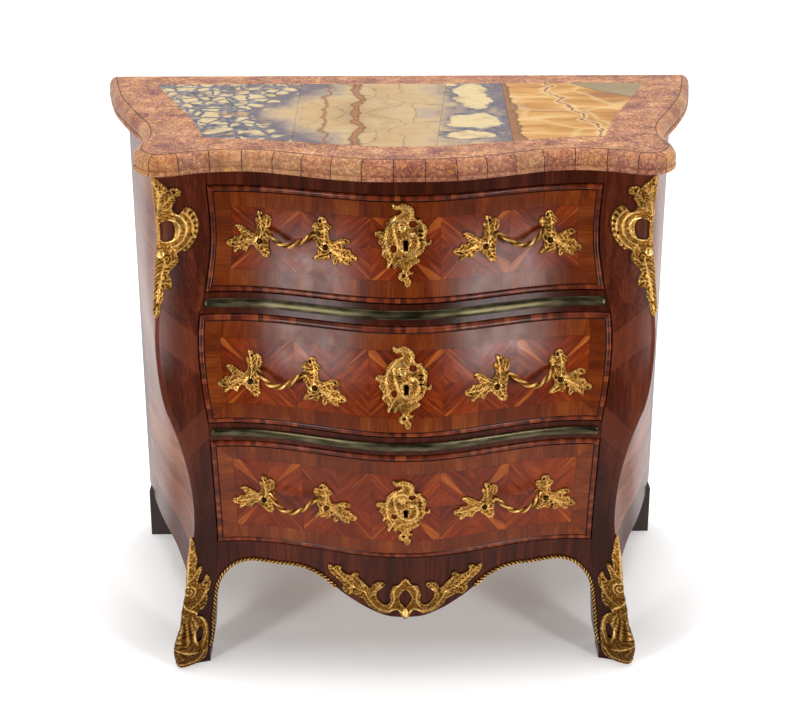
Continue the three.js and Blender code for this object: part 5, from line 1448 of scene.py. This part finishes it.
def bolt_shape(name, x, z):
    """A handle's bolt, from its head over the leaf to its nut in the seat behind the front."""
    top = front_y(x, z) - FRONT_PROUD - 0.0075
    seat = inner_y(name) + plan_wave(x) - NUT_SEAT + 0.0003
    head, shank, nut, sides = 0.0045, 0.0025, 0.0065, 28
    rows = [(0.0004, top), (head * 0.5, top + 0.0002), (head * 0.8, top + 0.0008),
            (head, top + 0.002), (head, top + 0.0042), (shank, top + 0.0042), (shank, seat),
            (nut * 0.94, seat), (nut, seat + 0.0004), (nut, seat + 0.0044),
            (nut * 0.92, seat + 0.005), (shank + 0.0004, seat + 0.005),
            (shank + 0.0004, seat + 0.0056), (shank * 0.4, seat + 0.006)]
    turns = np.arange(sides) * 2 * np.pi / sides
    verts, faces = loft([stack(x + r * np.cos(turns), y, z + r * np.sin(turns)) for r, y in rows])
    return verts, faces, np.repeat([0.16 if y < seat - 0.002 else 0.25 for _, y in rows], sides)


def bow_shape(x, z):
    """The twisted bow of a handle, thickened by a collar near both ends."""
    half_span, sag, stand, lead = 0.035, 0.019, 0.025, 0.036
    line = np.array([
        (-1.12, 0.8, 0.24), (-0.98, 0.98, 0.36), (-0.82, 0.78, 0.62), (-0.45, 0.25, 0.9),
        (0, 0, 0.96), (0.45, 0.25, 0.9), (0.82, 0.78, 0.62), (0.98, 0.98, 0.36),
        (1.12, 0.8, 0.24)])
    flat, run = evenly(centripetal(line * (half_span, sag, stand), count=20), ROPE_PITCH)
    path = front_skin(x + flat[:, 0], z + flat[:, 1], flat[:, 2], FRONT_PROUD)
    tangent = unit(np.gradient(path, axis=0))
    side = unit(np.cross(tangent, (0.0, -1.0, 0.3)))
    other = np.cross(tangent, side)
    turns = np.linspace(0, 2 * np.pi, 20, endpoint=False)
    ends = np.abs(run / run[-1] - 0.5) * 2
    radius = 0.0027 + 0.0008 * np.cos(np.pi * ends / 2)
    radius += 0.0009 * np.exp(-((ends - 0.86) / 0.04) ** 2)
    radius *= np.clip((1 - ends) / 0.03, 0.25, 1)
    turn = turns + 2 * np.pi * run[:, None] / lead
    size = radius[:, None] * (1 + np.clip(1.2 - ends, 0, 0.26)[:, None] * np.cos(2 * turn))
    round_off = np.cos(turns)[:, None] * side[:, None] + np.sin(turns)[:, None] * other[:, None]
    verts, faces = loft(path[:, None] + size[..., None] * round_off)
    return verts, faces, (0.5 + 0.3 * np.cos(2 * turn)).ravel()


def make_handle(name, side, leaves, metal):
    """Two leaf plates, the bow between them, and bolts through the front to their nuts."""
    handle_x, z, _ = fittings(name)
    x = handle_x if side == "right" else -handle_x
    parts = []
    for end, leaf in zip((-1, 1), leaves):
        bolt = x + end * HANDLE_HALF_SPAN
        parts.append((*bent(leaf, front_skin, bolt, z, 0.0, FRONT_PROUD), leaf["shade"]))
        parts.append(bolt_shape(name, bolt, z))
    parts.append(bow_shape(x, z))
    verts, faces, shades = zip(*parts)
    starts = np.cumsum([0, *map(len, verts)])
    faces = [tuple(i + start for i in f) for start, some in zip(starts, faces) for f in some]
    put(f"handle_{name}_{side}_fine", np.concatenate(verts), faces, metal, f"drawer_{name}",
        [f"handle_{name}_{side}"], {"relief": np.concatenate(shades)}, angle=50)


def make_strips(metal):
    """The brass strips let along the traverses, with a flute on both sides of their round."""
    tall, stand_out = 0.0065, 0.004
    swing = np.radians(np.linspace(-68, 68, 13))
    turns = np.concatenate([np.radians([-90, -90, -80]), swing, np.radians([80, 90, 90])])
    stand = np.concatenate([[0, 0.25, 0.32], 0.36 + 0.64 * np.cos(swing), [0.32, 0.25, 0]])
    ends = tall * np.array([0, 0.06, 0.2, 0.45, 0.7, 1])
    for node, low, high in (("brass_strip_upper", "middle", "upper"),
                            ("brass_strip_lower", "lower", "middle")):
        middle = (OPENINGS[low][1] + OPENINGS[high][0]) / 2
        reach = opening_x(middle) - 0.003
        x = np.concatenate([ends - reach, np.linspace(tall - reach, reach - tall, 130)[1:-1],
                            (reach - ends)[::-1]])
        share = np.clip((reach - np.abs(x)) / tall, 0, 1)[:, None]
        half = np.maximum(np.sqrt(1 - (1 - share) ** 2), 0.2)
        z = middle + tall * half * np.sin(turns)
        verts, faces = loft(front_skin(x[:, None] + 0 * z, z, MOUNT_GAP + stand_out * half * stand))
        put(f"{node}_fine", verts, faces, metal, "carcase", [node])


def make_edging(metal):
    """A rope moulding along each arch and down the inner edge of the leg."""
    width, lay, start = 0.0056, 0.0064, 0.1062
    arch = [(x, arch_z(x) + width / 2) for x in np.linspace(start, APRON_ARCH_HALF - width, 9)]
    leg = [(opening_x(z) + width / 2, z) for z in np.array([0.105, 0.08, 0.06, 0.04]) * CASE_TOP]
    path, run = evenly(centripetal(arch + leg, count=30), ROPE_PITCH)
    tangent = unit(np.gradient(path, axis=0))
    side = np.stack([-tangent[:, 1], tangent[:, 0]], axis=1)
    over = np.array([1, 1, 0.9, 0.7, 0.4, 0, -0.4, -0.7, -0.9, -1, -1])
    height = np.array([0, 0.22, 0.5, 0.76, 0.93, 1, 0.93, 0.76, 0.5, 0.22, 0])
    turn = 2 * np.pi * (run[:, None] / lay + 0.45 * over)
    place = path[:, None] + side[:, None] * (over[:, None] * width / 2)
    lift = MOUNT_GAP + width * 0.62 * height * (1 + 0.28 * np.cos(turn) * (height > 0.3))
    verts, faces = loft(front_skin(place[..., 0], place[..., 1], lift))
    both("edging", verts, faces, metal, "edging",
         {"relief": 0.45 + 0.4 * np.cos(turn)}, angle=60)


def make_mounts(metal):
    leaves = [casting(LEAF_LEFT), casting(LEAF_RIGHT)]
    plate = casting(KEY_PLATE)
    for name in OPENINGS:
        for side in ("left", "right"):
            make_handle(name, side, leaves, metal)
        verts, faces = bent(plate, front_skin, 0.0, fittings(name)[2], MOUNT_GAP, FRONT_PROUD)
        verts[:, 1] = np.maximum(verts[:, 1], cad_bounds[0][1])
        put(f"escutcheon_{name}_fine", verts, faces, metal, f"drawer_{name}",
            [f"escutcheon_{name}"], {"relief": plate["shade"]}, angle=50)
    for name, work, low in (("chute", CHUTE, CHUTE_LOW), ("sabot", SABOT, 0.0)):
        shape = casting(work)
        verts, faces = bent(shape, corner_skin, 0.0, low, MOUNT_GAP)
        both(name, verts, faces, metal, name, {"relief": shape["shade"]}, angle=50)
    shape = casting(APRON_MOUNT)
    verts, faces = bent(shape, front_skin, 0.0, APRON_MOUNT_LOW, MOUNT_GAP)
    put("apron_mount_fine", verts, faces, metal, "carcase", ["apron_mount"],
        {"relief": shape["shade"]}, angle=50)


# The pieces
fronts_wood = parquetry()
dark_wood = rail_wood()
gilt = gilding()
brass = aged_brass()
make_slab(brocatelle())
make_stiles(stile_wood())
make_sides(side_wood())
make_rails(dark_wood)
make_apron(dark_wood)
for count, drawer in enumerate(OPENINGS):
    make_drawer_front(drawer, fronts_wood, 1.7 * count + 0.3)
make_strips(brass)
make_edging(gilt)
make_mounts(gilt)

# The solids that stay
finishes = {
    "breccia": breccia(), "pine": softwood(), "dark_post": ebonised(), "iron": ironwork(),
    "alabaster": alabaster(), "onyx": onyx(),
}
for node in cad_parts.values():
    for place in node.material_slots:
        slot_name = place.material.name.split(".")[0]
        if slot_name in finishes:
            place.material = finishes[slot_name]


# Floor, backdrop and light
def floor_paint():
    """White where it is seen, and pale grey for the light that it gives back; its glow is cut under
    the chest as a painted shadow.
    """
    s = Shader("floor_paint", roughness=0.8, specular=0.1)
    x, y, _ = s.split()
    seen, glossy, clear = (s.value("LightPath", output=f"Is {kind} Ray")
                           for kind in ("Camera", "Glossy", "Transmission"))
    pale = s.between(y, -1.3, -0.5).max(seen)
    far = s.between(abs(x) + y.max(-0.3 - y).max(0.0), 0.6, 1.5)
    # Painted shadow: the floor's glow is cut by up to 70% in a box under the chest.
    painted_shadow = s.between(abs(x), 0.56, 0.36) * s.between(y, -0.27, -0.12) * s.between(y, 0.5, 0.3)
    glow = (far * 0.25 + 0.44) * (1.0 - painted_shadow * 0.7)
    s.set("Emission Color", (1, 1, 1, 1))
    s.set("Emission Strength", seen.max(glossy).max(clear) * glow * pale)
    return s.done(s.mix(pale, "303030", "ebebeb"))


floor = [(-30, -30, 0), (30, -30, 0), (30, 30, 0), (-30, 30, 0)]
new_object("floor", new_mesh("floor", floor, [(0, 1, 2, 3)], floor_paint()))


def lamp(name, place, aim, wide, tall, power):
    data = bpy.data.lights.new(name, "AREA")
    data.shape = "RECTANGLE"
    data.size, data.size_y = wide, tall
    data.energy = power
    made = new_object(name, data)
    made.location = place
    made.rotation_euler = (Vector(aim) - Vector(place)).to_track_quat("-Z", "Y").to_euler()


for side in (-1, 1):
    lamp("softbox", (side * 2.2, -2.6, 1.0), (0, -0.2, 0.5), 0.5, 1.2, 60)
lamp("overhead", (0, 0.2, 3.2), (0, 0.1, 0.4), 2.4, 2.0, 58)


def surroundings():
    """A pale backdrop all round, and a dim room behind the camera."""
    world = bpy.data.worlds.new("surroundings")
    bpy.context.scene.world = world
    world.use_nodes = True
    w = Nodes(world.node_tree)
    _, backwards, _ = w.split(w.value("TexCoord", output="Generated"))
    light = w.value("MapRange", (backwards, -0.4, 0.2, 0.08, 1.0))
    ground = w.tree.nodes["Background"]
    w.feed(ground.inputs["Color"], (1, 1, 1, 1))
    w.feed(ground.inputs["Strength"], light.max(w.value("LightPath", output="Is Camera Ray")))


surroundings()

camera = new_object("camera", bpy.data.cameras.new("camera"))
camera.data.lens = 77.2
camera.data.sensor_width = 36
camera.location = (-0.045, -2.574, 1.455)
camera.rotation_euler = (math.radians(90 - 21.62), 0, math.radians(-0.9))
bpy.context.scene.camera = camera
bpy.context.scene.view_settings.view_transform = "Standard"
